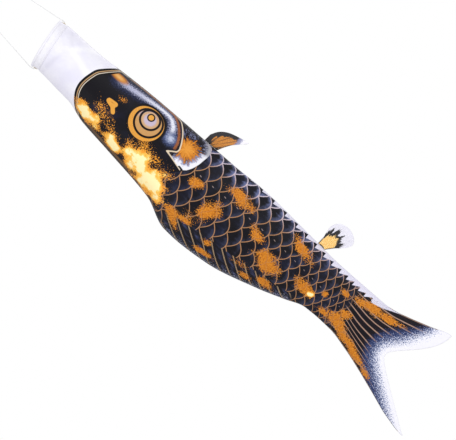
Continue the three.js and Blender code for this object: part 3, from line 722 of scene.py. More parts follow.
# Gill cover: dark rays round an orange middle, and a broad white rear border.
spoke, spread = s.math("ARCTAN2", w - flat(498, 34), s - 498), dot(498, 34, 1.0)
feather = net.noise(net.point(spoke * 5.5, spread * 0.03), 1.0, 3.0, 0.7)
burst = dot(504, 35, 31, 34) + (feather - 0.5) * 2.6 + coarse * 1.4
frayed = gill + (feather - 0.5) * 46 + coarse * 26
near_belly = w.ramp(44, 66, 1.0, 0.25)
cover_tone = layered(
    net.colour("120f18"),
    ("8388ad", (feather + coarse * 0.6).ramp(0.56, 0.62) * spread.ramp(24, 44) * 0.6),
    ("c97a20", burst.fade(0.8, 1.15)),
    ("e39a3c", burst.fade(0.2, 0.8, 0.8)),
    ("a3a7c9", frayed.ramp(-27, -14, 0.0, 0.9) * near_belly),
    ("e6e5ee", frayed.ramp(-18, -9) * near_belly),
)

# Body: scales, each with a bronze rear edge. Towards the belly the edges turn pale and a blue glow lies just
# ahead of each edge: painted light on the belly side, with painted glints in patches.
row, lane, pitch, lane_pitch, dorsal = net.attributes("row lane pitch lane_pitch dorsal")


def scales(shift):
    """Distance in mm to the nearest scale edge of every other row, and how far ahead of it."""
    off = (lane - shift) / 2
    d = (off - (off + 0.5).floor()) * 2
    slant = pitch / lane_pitch * d
    steep = (slant * slant + 1).root()
    part = (row - shift * 0.5 + d * d * 0.5).fract()
    return part.least(1 - part) * pitch / steep, (1 - part) * pitch / steep


(edge_even, ahead_even), (edge_odd, ahead_odd) = scales(0), scales(1)
edge, ahead = edge_even.least(edge_odd), ahead_even.least(ahead_odd)
# Painted light: the scales grow paler towards the belly, where the light falls.
painted_belly_light = w.ramp(30, 92)
glint = net.noise(place, 0.03, 2.0).ramp(0.42, 0.6)
arc_tone = net.colour(TAN).mix(GLOW, painted_belly_light * 0.75)
arc_width = pitch.ramp(24, 47, 1.4, 2.0) + painted_belly_light * speck.ramp(0.3, 0.7, 0.2, 2.0)
in_scale = (row - 0.03).fract()
tick = (lane + in_scale * 0.25 - 0.125).line(0.045, 0.02) * abs(in_scale - 0.5).fade(0.05, 0.09)
scale_tone = layered(
    net.colour(INK),
    ("1b2039", cloud.ramp(0.4, 0.7, 0.0, 0.6)),
    ("7079a6", (ahead + coarse * 14).fade(1, 16) * (painted_belly_light * glint * 0.6 + painted_belly_light * 0.2 + glint * 0.14)),
    (INK, ahead.ramp(14, 30)),
    (arc_tone, (edge - arc_width * 0.5).fade(-0.7, 0.9)),
    ("a08d88", tick * (row + 0.5).ramp(-2.2, -1.8)),
)

# The drawn back fin: slanting rays, with pale speckle between them.
ray_phase = ((s - dorsal * 1.1) / 38).fract()
from_ray = abs(ray_phase - 0.5)
spots = speck * 0.5 + grit * 0.5 + back.ramp(2, 44, 0.06, -0.1)
fin_tone = layered(
    net.colour("100e17"),
    ("3c4266", ray_phase.ramp(0.25, 0.55) * ray_phase.ramp(0.6, 0.95, 1.0, 0.1) * streaks.ramp(0.42, 0.7)),
    ("b3b6cf", spots.ramp(0.57, 0.62, 0.0, 0.8)),
    ("c9a985", from_ray.ramp(0.43, 0.47) * streaks.ramp(0.3, 0.45)),
    (INK, from_ray.ramp(0.475, 0.49)),
)
scale_tone = scale_tone.mix(fin_tone, dorsal.ramp(-0.5, 1.0) * s.ramp(560, 600) * s.fade(985, 1010))

# The belly is left white up to the last scales, whose edges make a zigzag.
zigzag = (1 - row.fract()) * lane_pitch * 0.62 + coarse * 4
strip = (belly - zigzag - s.ramp(640, 820, -22, 1) - s.ramp(820, 1120, 0, 9) - s.ramp(1120, 1150, 0, 3)
         + s.ramp(1160, 1290, 0, 28)).fade(-0.8, 0.8)

# Orange and gold are sprayed over the print through a coarse screen, so their edges are speckled.
dots = coarse * 3.6 + fine * 2.2
orange_on = ((flush - 0.66) * 1.7 + dots * 1.15).ramp(-0.06, 0.14) * flush.ramp(0.05, 0.25)
foil_on = ((foil - 0.62) * 2.4 + dots * 1.1).ramp(-0.05, 0.12) * foil.ramp(0.05, 0.25)
# Painted reflection: the foil's gold brightens to pale yellow towards the middle of each patch, standing in
# for light caught by the foil, over the foil's own gold.
bright = foil * 0.8 + (net.noise(place, 0.045, 3.0, 0.6) - 0.5) * 1.6
orange_tone = layered(net.colour(ORANGE), (AMBER, speck.ramp(0.42, 0.62)),
                      ("7d430f", grit.ramp(0.54, 0.72, 0, 0.6)))
foil_tone = layered(net.colour("ee9c30"), ("ffc358", bright.ramp(0.5, 0.8)),
                    ("fff0b8", bright.ramp(0.78, 1.0, 0.0, 0.95)))

# Tail: thin tan rays, black between them, breaking into pale speckle and a white end.
reach_in = end + fine * 40 + coarse * 50
ray_line = abs((ray * 13).fract() - 0.5).ramp(0.37, 0.45) * fan.ramp(0.0, 0.05) * reach_in.ramp(34, 56)
dotted = end * 1.15 + fine * 150 + coarse * 90 - s.ramp(1290, 1400, 0, 26) * w.ramp(0, 60)
tail_tone = layered(
    net.colour("0e0c14"),
    (MAROON, streaks.ramp(0.4, 0.8, 0.0, 0.8)),
    ("b08e7c", ray_line * 0.9),
    ("2f3c68", reach_in.fade(52, 70, 0.9) * (1 - ray_line * 0.5)),
    ("a9b4da", dotted.fade(32, 42, 0.85)),
    ("eeedf7", dotted.fade(20, 28)),
    ("eeedf7", (end + coarse * 30).fade(9, 17)),
)

# White sleeve in front of the lip, and everything laid over the head in turn.
crease, fold = net.attributes("crease fold")
sleeve_tone = layered(
    net.colour(WHITE),
    (LILAC, cloud.ramp(0.3, 0.7, 0.2, 0.9)),
    # Painted shade in the sleeve's crease, and a painted highlight along its fold.
    ("c9c6d8", crease.fade(0, 12, 0.3) * cloud.ramp(0.35, 0.6)),
    ("ffffff", fold.fade(0, 18, 0.4)),
)
sleeve_on = lip.fade(-0.6, 0.8)
tone = layered(
    tone,
    ("0a090e", eye_outer.fade(1.1, 1.2)),
    (eye, eye_outer.fade(0.985, 1.01)),
    ("dd9d42", nostril.fade(-0.8, 0.8)),
    ("8a5526", nostril.fade(-7.2, -6.3, 0.9)),
    (cover_tone, cover.ramp(-0.5, 0.5) * gill.fade(-1, 1)),
    ("d9c7ae", (abs(cover) - 0.2).line(3.4, 1.0) * gill.fade(0, 2)),
    ("e8e7ee", abs(gill + 4.0).fade(3.2, 5.5) * cover.ramp(0, 1.5) * near_belly),
    ("0b0a10", abs(gill - 1.0).fade(1.0, 2.2, 0.9) * cover.ramp(0, 1.5)),
    (scale_tone, body.ramp(-0.6, 0.8)),
    (orange_tone, orange_on * (1 - (edge - 0.6).fade(-0.5, 1.0, 0.4) * body.ramp(0, 2))),
    (foil_tone, foil_on),
    (tail_tone, s.ramp(1128, 1150) * (1 - orange_on * s.fade(1300, 1380))),
    ("d9d6e8", strip * s.ramp(600, 720)),
    (sleeve_tone, sleeve_on),
    ("8f8c9c", inner * 0.35 * (1 - sleeve_on)),
)
shine = (foil_on * (1 - sleeve_on)).ramp(0.4, 0.9)
connect(net, surface, height + foil_on * 0.6, 0.25, 0.0002, Base_Color=tone, Metallic=shine * 0.12,
        Roughness=0.52 - shine * 0.2 + sleeve_on * 0.12)

MIDDLE_CUT = 843.0
cut = int(np.argmin(np.abs(cloth_s[:body_rows, 0] - MIDDLE_CUT)))


def give_fields(made, fields):
    for key, values in fields.items():
        made.data.attributes.new(key, "FLOAT", "POINT").data.foreach_set("value", values.astype(np.float32))


def cloth_sheet(name, outer, inner, fields, look):
    """A closed mesh of two skins, with the fields on both."""
    rows, columns = outer.shape[:2]
    count = rows * columns
    points = np.concatenate([outer.reshape(-1, 3), inner.reshape(-1, 3)])
    number = np.arange(count).reshape(rows, columns)
    skin = np.stack([number[:-1, :-1], number[:-1, 1:], number[1:, 1:], number[1:, :-1]], -1).reshape(-1, 4)
    rim = np.concatenate([number[0, :], number[1:, -1], number[-1, -2::-1], number[-2:0:-1, 0]])
    after = np.roll(rim, -1)
    wall = np.stack([after, rim, rim + count, after + count], -1)
    made = piece(name, points, np.concatenate([skin, skin[:, ::-1] + count, wall]).tolist(), look)
    give_fields(made, {key: np.tile(field.ravel(), 2) for key, field in fields.items()})
    give_fields(made, {"inner": np.repeat([0.0, 1.0], count)})
    return made


def blend_at(made, bodies, fold):
    """Bends a piece between two bodies over the height of a fold band."""
    low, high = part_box(fold)
    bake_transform(made, *bodies, start=(0, 0, high.z), end=(0, 0, low.z))


for side_name, side in (("right", -1), ("left", 1)):
    outer = np.stack([cloth_x * MM, side * surface_y * MM, MOUTH_Z - cloth_s * MM], -1)
    lining = outer - grid_normals(outer) * side * CLOTH * MM
    lining[:, :, 1] = side * np.maximum(side * lining[:, :, 1], SEAM_CLEAR * MM)
    for part_name, low, high, bodies, fold, lengths in (
        ("head", 0, cut + 1, ("front", "middle"), "body_fold", ("front", "body_fold", "middle")),
        ("rear", cut, rows, ("middle", "tail"), "tail_fold", ("tail_fold", "tail")),
    ):
        sheet = cloth_sheet(f"panel_{part_name}_{side_name}", outer[low:high], lining[low:high],
                            {key: field[low:high] for key, field in fields.items()}, print_look)
        if side > 0:
            sheet.data.flip_normals()
        blend_at(sheet, bodies, f"{side_name}_panel_{fold}")
        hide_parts(*(f"{side_name}_panel_{length}" for length in lengths))

# ---------------------------------------------------------------- mouth hem
# The white cloth of the mouth is folded inwards over the hoop and sewn to itself with two rows of
# stitches, which makes the tunnel that the hoop lies in.
HOOP = 74.0
HEM_AROUND = 240
TUNNEL = 3.2
HEM_WALL, HEM_LAYER = 0.35, 0.75
HEM_END, HEM_RETURN = -26.0, -20.0
HOLE = 3.3
STITCH_ROWS = ((-17.0, 0.02), (-21.5, 0))
STITCH_LONG, STITCH_THICK = 2.9, 0.22


def closed_loop(name, points, look):
    """A piece through rings of points, closed both ways, for a strip folded on itself."""
    rings, around = points.shape[:2]
    number = np.arange(rings * around).reshape(rings, around)
    right, below = np.roll(number, -1, 1), np.roll(number, -1, 0)
    faces = np.stack([number, right, np.roll(right, -1, 0), below], -1).reshape(-1, 4)
    return piece(name, points.reshape(-1, 3), faces.tolist(), look)


def stitches(places, ways, outs, length, radius):
    """Short threads lying along ways, sunk a little into the cloth below outs."""
    points, faces = [], []
    for place, way, out in zip(places, ways, outs):
        side = np.cross(way, out)
        start = len(points)
        for share, lift, wide in ((-0.5, -0.35, 0.5), (-0.28, 0.25, 1), (0.28, 0.25, 1), (0.5, -0.35, 0.5)):
            centre = place + way * length * share + out * radius * lift
            for k in range(6):
                a = math.pi / 3 * k
                points.append(centre + (side * math.cos(a) + out * math.sin(a)) * radius * wide)
        for ring in range(3):
            for k in range(6):
                j = (k + 1) % 6
                a, b = start + ring * 6, start + ring * 6 + 6
                faces.append((a + k, a + j, b + j, b + k))
        faces.append(tuple(start + k for k in range(6))[::-1])
        faces.append(tuple(start + 18 + k for k in range(6)))
    return points, faces


white_look, net, surface = material("white_polyester", 0.6, Sheen_Weight=0.3)
x, y, z = net.parts(1000)
height, bars = placed(net, weave_group, "Height", "Bars", Across=x + y, Along=z, Thread=THREAD)
tone = layered(net.colour(WHITE), (LILAC, net.noise(net.place(), 14.0, 3.0).ramp(0.3, 0.7, 0.15, 0.8)),
               ("c9c6da", bars.ramp(0.4, 0.8, 0.0, 0.12)))
connect(net, surface, height, 0.25, 0.0002, Base_Color=tone)

thread_look, net, surface = material("sewing_thread", 0.7, Sheen_Weight=0.2)
twist = net.noise(net.place(), 2600.0, 2.0)
connect(net, surface, twist, 0.4, 0.0001, Base_Color=net.colour("e9e7ee").mix("b8b5c2", twist))

# The hem's section, from its outer raw end round the hoop to its inner one, as radius and height.
strip = [(HOOP + HEM_LAYER, HEM_END), (HOOP + HEM_LAYER, -20), (HOOP + HEM_LAYER, -14), (HOOP + 0.8, -8)]
lean_in = math.asin(HEM_LAYER / TUNNEL)
for a in np.linspace(lean_in, 2 * math.pi - lean_in, 17) - math.pi / 2:
    strip.append((HOOP + TUNNEL * math.cos(a), TUNNEL * math.sin(a)))
strip = np.array(strip + [(HOOP - 0.8, -8), (HOOP - HEM_LAYER, -14), (HOOP - HEM_LAYER, HEM_RETURN)])
run = np.gradient(strip, axis=0)
run /= np.linalg.norm(run, axis=1, keepdims=True)
out_of = np.stack([run[:, 1], -run[:, 0]], 1) * HEM_WALL
radius, level = np.hsplit(np.vstack([strip + out_of, (strip - out_of)[::-1]]), 2)
around = full_turn(HEM_AROUND)[None]
draw = np.random.default_rng(5)
gather = 0
for k in range(16):
    waves = draw.integers(9, 60)
    phase = draw.uniform(0, 2 * math.pi, 2)
    gather += draw.uniform(0.3, 1.0) * np.sin(waves * around + phase[0] + 0.05 * level * math.cos(phase[1]))
radius = radius + gather * 0.09 * ease(-level, 1, 6) * ease(-level, 26.5, 22)
hem = closed_loop("hem_of_mouth", tilted(radius * np.cos(around), radius * np.sin(around), level), white_look)


def cut_by(made, cutter):
    """Takes the cutter's shape out of a piece, and removes the cutter."""
    change = made.modifiers.new("cut", "BOOLEAN")
    change.operation = "DIFFERENCE"
    change.solver = "EXACT"
    change.object = cutter
    bpy.context.view_layer.update()
    seen = made.evaluated_get(bpy.context.evaluated_depsgraph_get())
    fresh = bpy.data.meshes.new_from_object(seen)
    made.modifiers.remove(change)
    old = made.data
    made.data = fresh
    fresh.name = old.name
    bpy.data.objects.remove(cutter)


for outward in (-1, 1):
    hole = tube([tilted(outward * 60, 0, EYELET_Z), tilted(outward * 90, 0, EYELET_Z)], HOLE * MM, 24)
    cut_by(hem, piece("hole", *hole, white_look))

seam = []
for level, start in STITCH_ROWS:
    for a in full_turn(112) + start:
        cos, sin = math.cos(a), math.sin(a)
        way, out = (tilted(x, y, 0) - tilted(0, 0, 0) for x, y in ((-sin, cos), (cos, sin)))
        way, out = way / np.linalg.norm(way), out / np.linalg.norm(out)
        for facing in (1, -1) if level > HEM_RETURN else (1,):
            radius = HOOP + facing * (HEM_LAYER + HEM_WALL)
            seam.append((tilted(radius * cos, radius * sin, level), way, facing * out))
threads = stitches(*zip(*seam), STITCH_LONG * MM, STITCH_THICK * MM)
hem_thread = piece("hem_stitches", *threads, thread_look)
settle(hem, "front", "white_cloth", "mouth_hem")
settle(hem_thread, "front", "white_cloth")

# ---------------------------------------------------------------- mouth hoop, ferrule and eyelets
# A hoop of white glass-fibre rod, closed by a metal sleeve, keeps the mouth open. Two brass eyelets
# are set through the hem, one at the back and one at the belly.
hoop_look, net, surface = material("glass_fibre_rod", 0.4)
fibre = net.noise(net.place(), 400.0, 3.0)
connect(net, surface, fibre, 0.2, 0.0002,
        Base_Color=net.colour("e7e6df").mix("cfcdc2", fibre), Roughness=fibre * 0.2 + 0.3)

# Fine scratches and dulled spots that every metal piece has.
wear_group, net, (scale,), give = node_group("metal_wear", ("Scale",), ("Wear", "Brushing"))
place = net.place()
stretched = net.out(net.node("ShaderNodeVectorMath", {0: place, 1: (1.0, 1.0, 0.12)}, operation="MULTIPLY"))
give(Wear=net.noise(place, scale, 4.0, 0.6), Brushing=net.noise(stretched, scale * 14, 2.0, 0.6))


def metal(name, bright, dull, rough):
    made, net, surface = material(name, rough, 1.0)
    wear, brushing = placed(net, wear_group, "Wear", "Brushing", Scale=220.0)
    tone = net.colour(bright).mix(dull, wear.ramp(0.45, 0.75, 0.0, 0.7))
    rougher = wear * 0.18 + brushing * 0.14 + (rough - 0.14)
    connect(net, surface, brushing, 0.12, 0.0001, Base_Color=tone, Roughness=rougher)
    return made


nickel_look = metal("nickel_plate", "d9d7d2", "a9a6a0", 0.28)
brass_look = metal("brass", "d9b45c", "8d6f35", 0.32)


def lathe(name, profile, look, place, sides=40):
    """A closed turned piece. profile is (radius, height) in mm, place puts it in the scene."""
    radius, height = np.hsplit(np.array(profile, float), 2)
    a = full_turn(sides)[None]
    return closed_loop(name, place(radius * np.cos(a), radius * np.sin(a), height + 0 * a), look)


# The eyelet's section, as radius and height from the hoop's middle line: its barrel and both rolled rims.
out, inn = HOOP + 1.75, HOOP - 2.05
rolled = [(2.2, inn - 0.55), (2.6, inn - 0.8), (5.2, inn - 0.75), (5.9, inn - 0.45), (5.9, inn - 0.1),
          (5.2, inn), (3.2, inn), (3.0, inn + 0.4), (3.0, out - 0.4), (3.2, out), (5.2, out),
          (5.9, out + 0.1), (6.0, out + 0.4), (5.3, out + 0.72), (4.0, out + 0.8), (2.7, out + 0.8),
          (2.2, out + 0.5)]
for name, outward in (("back", -1), ("belly", 1)):
    eyelet = lathe(f"brass_eyelet_{name}", rolled, brass_look,
                   lambda x, y, z: tilted(outward * z, y, x * outward + EYELET_Z))
    settle(eyelet, "front", "brass", f"eyelet_{name}")

HOOP_ROD = 1.5
around = full_turn(180)
hoop_line = tilted(HOOP * np.cos(around), HOOP * np.sin(around), 0.0 * around)
hoop = piece("hoop_rod", *tube(hoop_line, HOOP_ROD * MM, 16, closed=True), hoop_look)
settle(hoop, "front", "hoop", "mouth_hoop")
ferrule = bpy.data.objects["hoop_ferrule"]
ferrule.data.materials.clear()
ferrule.data.materials.append(nickel_look)

# ---------------------------------------------------------------- stopper knots, hitch and ring
# Each leg ends in an overhand knot inside the hem, too big for the eyelet. At the top both legs are
# doubled round a nickel ring and tied in one tight hitch.


KNOT_SIZE, HITCH_SIZE = 3.3, 3.5
LOOP_SPREAD, LOOP_GAP = 1.15, 1.6


def tie(name, centre, axis, size, node):
    """A tight overhand knot of the bridle's cord, round a place in metres. Its size is in mm."""
    side = np.cross(axis, (0.2, 1.0, 0.1))
    side /= np.linalg.norm(side)
    t = full_turn(72)[:, None]
    wide = size * MM - CORD
    a = (np.sin(t) + 2 * np.sin(2 * t)) / 3 * wide
    b = (np.cos(t) - 2 * np.cos(2 * t)) / 3 * wide
    c = -np.sin(3 * t) * wide * 0.42
    route = np.array(centre) + side * a + np.cross(axis, side) * b + np.array(axis, float) * c
    settle(piece(name, *tube(route, CORD, closed=True), cord_look), "bridle", "cord", node)


for name, outward in (("back", -1), ("belly", 1)):
    middle = tilted(outward * KNOT_X, 0, EYELET_Z)
    tie(f"overhand_knot_{name}", middle, (1, 0, 0), KNOT_SIZE, f"stopper_knot_{name}")

ring_low, ring_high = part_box("bridle_ring")
ring_z = (ring_low.z + ring_high.z) / 2
ring_wire = (ring_high.y - ring_low.y) / 2
ring_radius = (ring_high.x - ring_low.x) / 2 - ring_wire
around = full_turn(120)
circle = np.stack([ring_radius * np.cos(around), 0 * around, ring_z + ring_radius * np.sin(around)], 1)
ring = piece("nickel_ring", *tube(circle, ring_wire, 24, closed=True), nickel_look)
settle(ring, "bridle", "metal", "bridle_ring")

ring_bottom = ring_z - ring_radius
loop_radius = ring_wire + LOOP_GAP * MM
a = full_turn(48)
for name, outward in (("back", -1), ("belly", 1)):
    loop = np.stack([outward * LOOP_SPREAD * MM + 0 * a, loop_radius * np.cos(a),
                     ring_bottom + loop_radius * np.sin(a)], 1)
    looped = piece(f"hitch_loop_{name}", *tube(loop, CORD, closed=True), cord_look)
    settle(looped, "bridle", "cord", "ring_hitch")
below = ring_bottom - loop_radius - CORD - LOOP_GAP * MM
tie("hitch_knot", (0, 0, below), (0, 1, 0), HITCH_SIZE, "ring_hitch")

# ---------------------------------------------------------------- snap hook and swivel
# A cast and nickel-plated snap hook with a sprung gate. Its boss turns on the stud of the swivel eye,
# and the ring hangs in that eye.
BEND = 9.5
PIVOT_Z = -34.0
BOSS_LOW, BOSS_HIGH = -46.0, -40.0
PIN_HOLE = 1.3
EYE_Z, EYE_RADIUS, EYE_WIRE = -54.6, 6, 2


def slab(outline, low, high, bevel):
    """Points and faces of a plate with bevelled edges. Its outline is in X and Z, all in mm."""
    outline = np.array(outline, float)
    after = np.roll(outline, -1, 0)
    if np.sum(outline[:, 0] * after[:, 1] - after[:, 0] * outline[:, 1]) < 0:
        outline = outline[::-1]
    way = np.roll(outline, -1, 0) - np.roll(outline, 1, 0)
    way /= np.linalg.norm(way, axis=1, keepdims=True)
    inset = outline - np.stack([way[:, 1], -way[:, 0]], 1) * bevel
    count = len(outline)
    points, faces = [], []
    for shape, y in ((inset, low), (outline, low + bevel), (outline, high - bevel), (inset, high)):
        points.extend((x * MM, y * MM, z * MM) for x, z in shape)
    for k in range(3):
        for i in range(count):
            j = (i + 1) % count
            faces.append((k * count + i, (k + 1) * count + i, (k + 1) * count + j, k * count + j))
    faces.append(tuple(range(count)))
    faces.append(tuple(3 * count + i for i in range(count))[::-1])
    return points, faces


def half_round(radius, low_side, steps=14):
    turn = np.linspace(0, math.pi, steps)
    return [(BEND + radius * math.cos(a), PIVOT_Z + low_side * radius * math.sin(a)) for a in turn]


def rod(name, places, radii, sides, smooth=True):
    """A round nickel-plated piece along places in mm, with its radius in mm at each."""
    return piece(name, *tube(np.array(places, float) * MM, np.array(radii) * MM, sides), nickel_look, smooth)


def pierce(made, *shape):
    cut_by(made, piece("hole", *shape, nickel_look))


bend = [(-BEND * math.cos(a), -7 + BEND * math.sin(a)) for a in np.linspace(0, math.pi, 13)]
shank = [(-5.4, -42.0), (-8.7, -37.8), (-BEND, -31.0), (-BEND, -18.0)]
route = smooth_route([(x * MM, 0, z * MM) for x, z in shank + bend], 1 * MM) / MM
route = np.vstack([route, [(BEND, 0, z) for z in np.linspace(-7.4, -12, 8)]])
arm = [(5.2, 0, -42.6), (7.4, 0, -41.7), (BEND, 0, -40.9), (10.6, 0, -40.6)]
tang = half_round(2.8, 1) + [(BEND - 2.8, -41.4), (BEND + 2.8, -41.4)]
boss = [(2.4, BOSS_LOW + 0.4), (2.8, BOSS_LOW), (5.9, BOSS_LOW), (6.5, BOSS_LOW + 0.6),
        (6.5, BOSS_HIGH - 0.6), (5.9, BOSS_HIGH), (2.8, BOSS_HIGH), (2.4, BOSS_HIGH - 0.4)]
hook_pieces = [
    rod("hook_frame", route, [2.5] * (len(route) - 2) + [2.35, 1.9], 28),
    rod("hook_arm", arm, [2.5, 2.5, 2.4, 1.6], 28),
    piece("hook_tang", *slab(tang, 0.3, 1.9, 0.2), nickel_look, smooth=False),
    lathe("hook_boss", boss, nickel_look, lambda x, y, z: np.stack([x, y, z], -1) * MM, 48),
]
pin_hole = tube([(BEND * MM, y * MM, PIVOT_Z * MM) for y in (-8, 8)], PIN_HOLE * MM, 24)
pierce(hook_pieces[2], *pin_hole)

gate_outline = half_round(2.5, -1) + [(BEND - 2.5, -13.6), (BEND - 2.1, -12.6), (BEND - 1.3, -12.3),
                                      (BEND + 1.3, -12.3), (BEND + 2.1, -12.6), (BEND + 2.5, -13.6)]
gate = piece("gate_bar", *slab(gate_outline, -3.6, 3.6, 0.5), nickel_look, smooth=False)
fork = [(BEND - 6, -38.5), (BEND - 6, -26.5), (BEND + 6, -26.5), (BEND + 6, -38.5)]
pierce(gate, *slab(fork, -2.2, 2.2, 0.1))
pierce(gate, *pin_hole)

pin_y = (-4.6, -4.45, -4.0, -3.9, -3.88, -1.5, 1.5, 3.88, 3.9, 4.0, 4.45, 4.6)
pin = rod("hinge_pin", [(BEND, y, PIVOT_Z) for y in pin_y],
          (1.4, 1.75, 1.9, 1.9, 1.0, 1.0, 1.0, 1.0, 1.9, 1.9, 1.75, 1.4), 24, False)

coil = [(BEND - 0.4, -0.6, PIVOT_Z + 6)]
for k in range(33):
    a = 2 * math.pi * k / 16
    coil.append((BEND - 1.6 * math.cos(a), -0.6 - 1.2 * k / 32, PIVOT_Z + 1.6 * math.sin(a)))
coil.append((BEND - 1.6, -1.8, PIVOT_Z - 3.4))
spring = rod("spring_coil", smooth_route(coil, 0.4), 0.3, 10)

stem_z = (-49.6, -48.7, -48.2, -46.6, -46.3, -46.28, -43, -39.72, -39.7, -39.2, -38.2, -37.7, -37.5)
stem = rod("swivel_stem", [(0, 0, z) for z in stem_z],
           (3.3, 4.1, 4.2, 4.2, 3.9, 2.0, 2.0, 2.0, 3.4, 3.6, 3.6, 3.3, 2.7), 40, False)
around = full_turn(72)
eye_circle = np.stack([0 * around, EYE_RADIUS * np.cos(around), EYE_Z + EYE_RADIUS * np.sin(around)], 1) * MM
eye_ring = piece("swivel_ring", *tube(eye_circle, EYE_WIRE * MM, 24, closed=True), nickel_look)

for body, node, pieces in (("hook", "snap_hook", hook_pieces), ("gate", "snap_gate", [gate]),
                           ("hook", "gate_pin", [pin]), ("hook", "gate_spring", [spring]),
                           ("swivel", "swivel_eye", [stem, eye_ring])):
    for made in pieces:
        settle(made, body, "metal", node)

# ---------------------------------------------------------------- seam tape along the back and the belly
# The two panels are bound together by a folded tape, in the colours of the print, stitched through.
TAPE_WIDE, TAPE_PROUD, TAPE_THICK = 3.0, 1.0, 1.4
STITCH_PITCH = 4.4

tape_look, net, surface = material("binding_tape", 0.55, Sheen_Weight=0.25)
tint, along, level = net.attributes("tint along level")
height, bars = placed(net, weave_group, "Height", "Bars", Across=level, Along=along, Thread=0.5)
mottle = net.noise(net.point(along, level), 0.12, 3.0, 0.6)
tone = layered(net.colour("17141d"), ("dddbe9", tint.ramp(0.55, 0.95)),
               ("9a6c35", abs(tint - 0.5).fade(0.12, 0.22) * mottle.ramp(0.35, 0.6)),
               ("8f8ca0", bars.ramp(0.4, 0.8, 0.0, 0.12)))
connect(net, surface, height, 0.3, 0.0002, Base_Color=tone)

# How pale the tape is along its length: 0 black, 0.5 bronze, 1 white.
back_tints = through([(20, 1), (178, 1), (186, 0.5), (300, 0.45), (520, 0.5), (560, 0), (1470, 0), (1490, 1),
                      (1510, 1)])
belly_tints = through([(20, 1), (194, 1), (204, 0.1), (590, 0), (640, 1), (1220, 1), (1262, 0), (1365, 0),
                       (1385, 1), (1440, 1)])
for name, outward, edge, tip, lobe, tints in (
    ("back", -1, back_edge, BACK_TIP, back_lobe, back_tints),
    ("belly", 1, belly_edge, BELLY_TIP, belly_lobe, belly_tints),
):
    top = float(mouth_end(MOUTH_LEAN + outward * MOUTH_HALF)) + TAPE_WIDE * math.tan(TILT) + 0.3
    along_body = np.linspace(top, TAIL_START, 300)
    lobe_s, lobe_x = lobe_side(tip, lobe, float(edge(TAIL_START)), np.linspace(0, 1, 110)[1:])
    line = np.stack([np.concatenate([along_body, lobe_s]), np.concatenate([edge(along_body), lobe_x])], 1)
    way = np.gradient(line, axis=0)
    way /= np.linalg.norm(way, axis=1, keepdims=True)
    out_way = np.stack([-way[:, 1], way[:, 0]], 1) * outward
    wobble = 0.12 * np.sin(line[:, 0] / 6.1) * np.sin(line[:, 0] / 23.0)
    line = line - out_way * (TAPE_WIDE / 2 - TAPE_PROUD)
    cos, sin = np.cos(full_turn(16)), np.sin(full_turn(16))
    round_x = np.sign(cos) * np.abs(cos) ** 0.45 * TAPE_WIDE / 2
    round_y = np.sign(sin) * np.abs(sin) ** 0.45 * TAPE_THICK / 2
    split = int(np.argmin(np.abs(along_body - MIDDLE_CUT)))
    for part_name, low, high, bodies, hinge, lengths in (
        ("head", 0, split + 1, ("front", "middle"), "body", ("front", "middle")),
        ("rear", split, len(line), ("middle", "tail"), "tail", ("tail",)),
    ):
        part_s, part_x = line[low:high].T
        out_s, out_x = out_way[low:high].T[..., None]
        lift = wobble[low:high]
        points = np.stack([(part_x[:, None] + out_x * round_x) * MM, (round_y + lift[:, None]) * MM,
                           MOUTH_Z - (part_s[:, None] + out_s * round_x) * MM], -1)
        count, sides = points.shape[:2]
        number = np.arange(count * sides).reshape(count, sides)
        after = np.roll(number, -1, 1)
        quads = np.stack([number[:-1], after[:-1], after[1:], number[1:]], -1)
        faces = quads.reshape(-1, 4).tolist() + [number[0, ::-1].tolist(), number[-1].tolist()]
        tape = piece(f"tape_{name}_{part_name}", points.reshape(-1, 3), faces, tape_look)
        give_fields(tape, {"along": np.repeat(part_s, sides), "level": np.tile(round_x, count),
                           "tint": np.repeat(tints(part_s), sides)})

        stitch_at = np.arange(part_s[2], part_s[-2], STITCH_PITCH)
        k = np.clip(np.searchsorted(part_s, stitch_at), 1, count - 1)
        f = ((stitch_at - part_s[k - 1]) / (part_s[k] - part_s[k - 1]))[:, None]
        centre = np.stack([part_x, 0 * part_x, -part_s], 1)
        centre = (centre[k - 1] * (1 - f) + centre[k] * f) * MM + (0, 0, MOUTH_Z)
        stitch_way = np.stack([way[low:high, 1][k], 0 * f[:, 0], -way[low:high, 0][k]], 1)
        seam = [(at + (0, (facing * TAPE_THICK / 2 + up) * MM, 0), to, np.array((0.0, facing, 0.0)))
                for facing in (-1, 1) for at, up, to in zip(centre, lift[k], stitch_way)]
        threads = stitches(*zip(*seam), 2.8 * MM, 0.2 * MM)
        thread = piece(f"tape_stitches_{name}_{part_name}", *threads, thread_look)
        for made in (tape, thread):
            blend_at(made, bodies, f"right_panel_{hinge}_fold")
        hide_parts(*(f"{name}_seam_{length}" for length in lengths))

# ---------------------------------------------------------------- fins
# Two pairs of flat fins, each cut double from the printed cloth and caught into the belly seam along
# a short root. The front pair stands beside the gills, the rear pair before the tail.
FIN_SPLAY = math.radians(12)
FIN_LONG, FIN_WIDE = 46, 60
FIN_HALF, FIN_ASIDE = 0.45, 0.95
# Each design: where its root starts along the belly, how long the root is, and its outline from there.
designs = {
    "pectoral": (521.0, 46.0, [(2, 23), (16, 45), (41, 62), (77, 72), (102, 75), (78, 52), (60, 27),
                               (50, 8)]),
    "pelvic": (958.0, 27.0, [(-3, 32), (-8, 60), (4, 84), (34, 93), (60, 85), (73, 68), (66, 48), (44, 22)]),
}

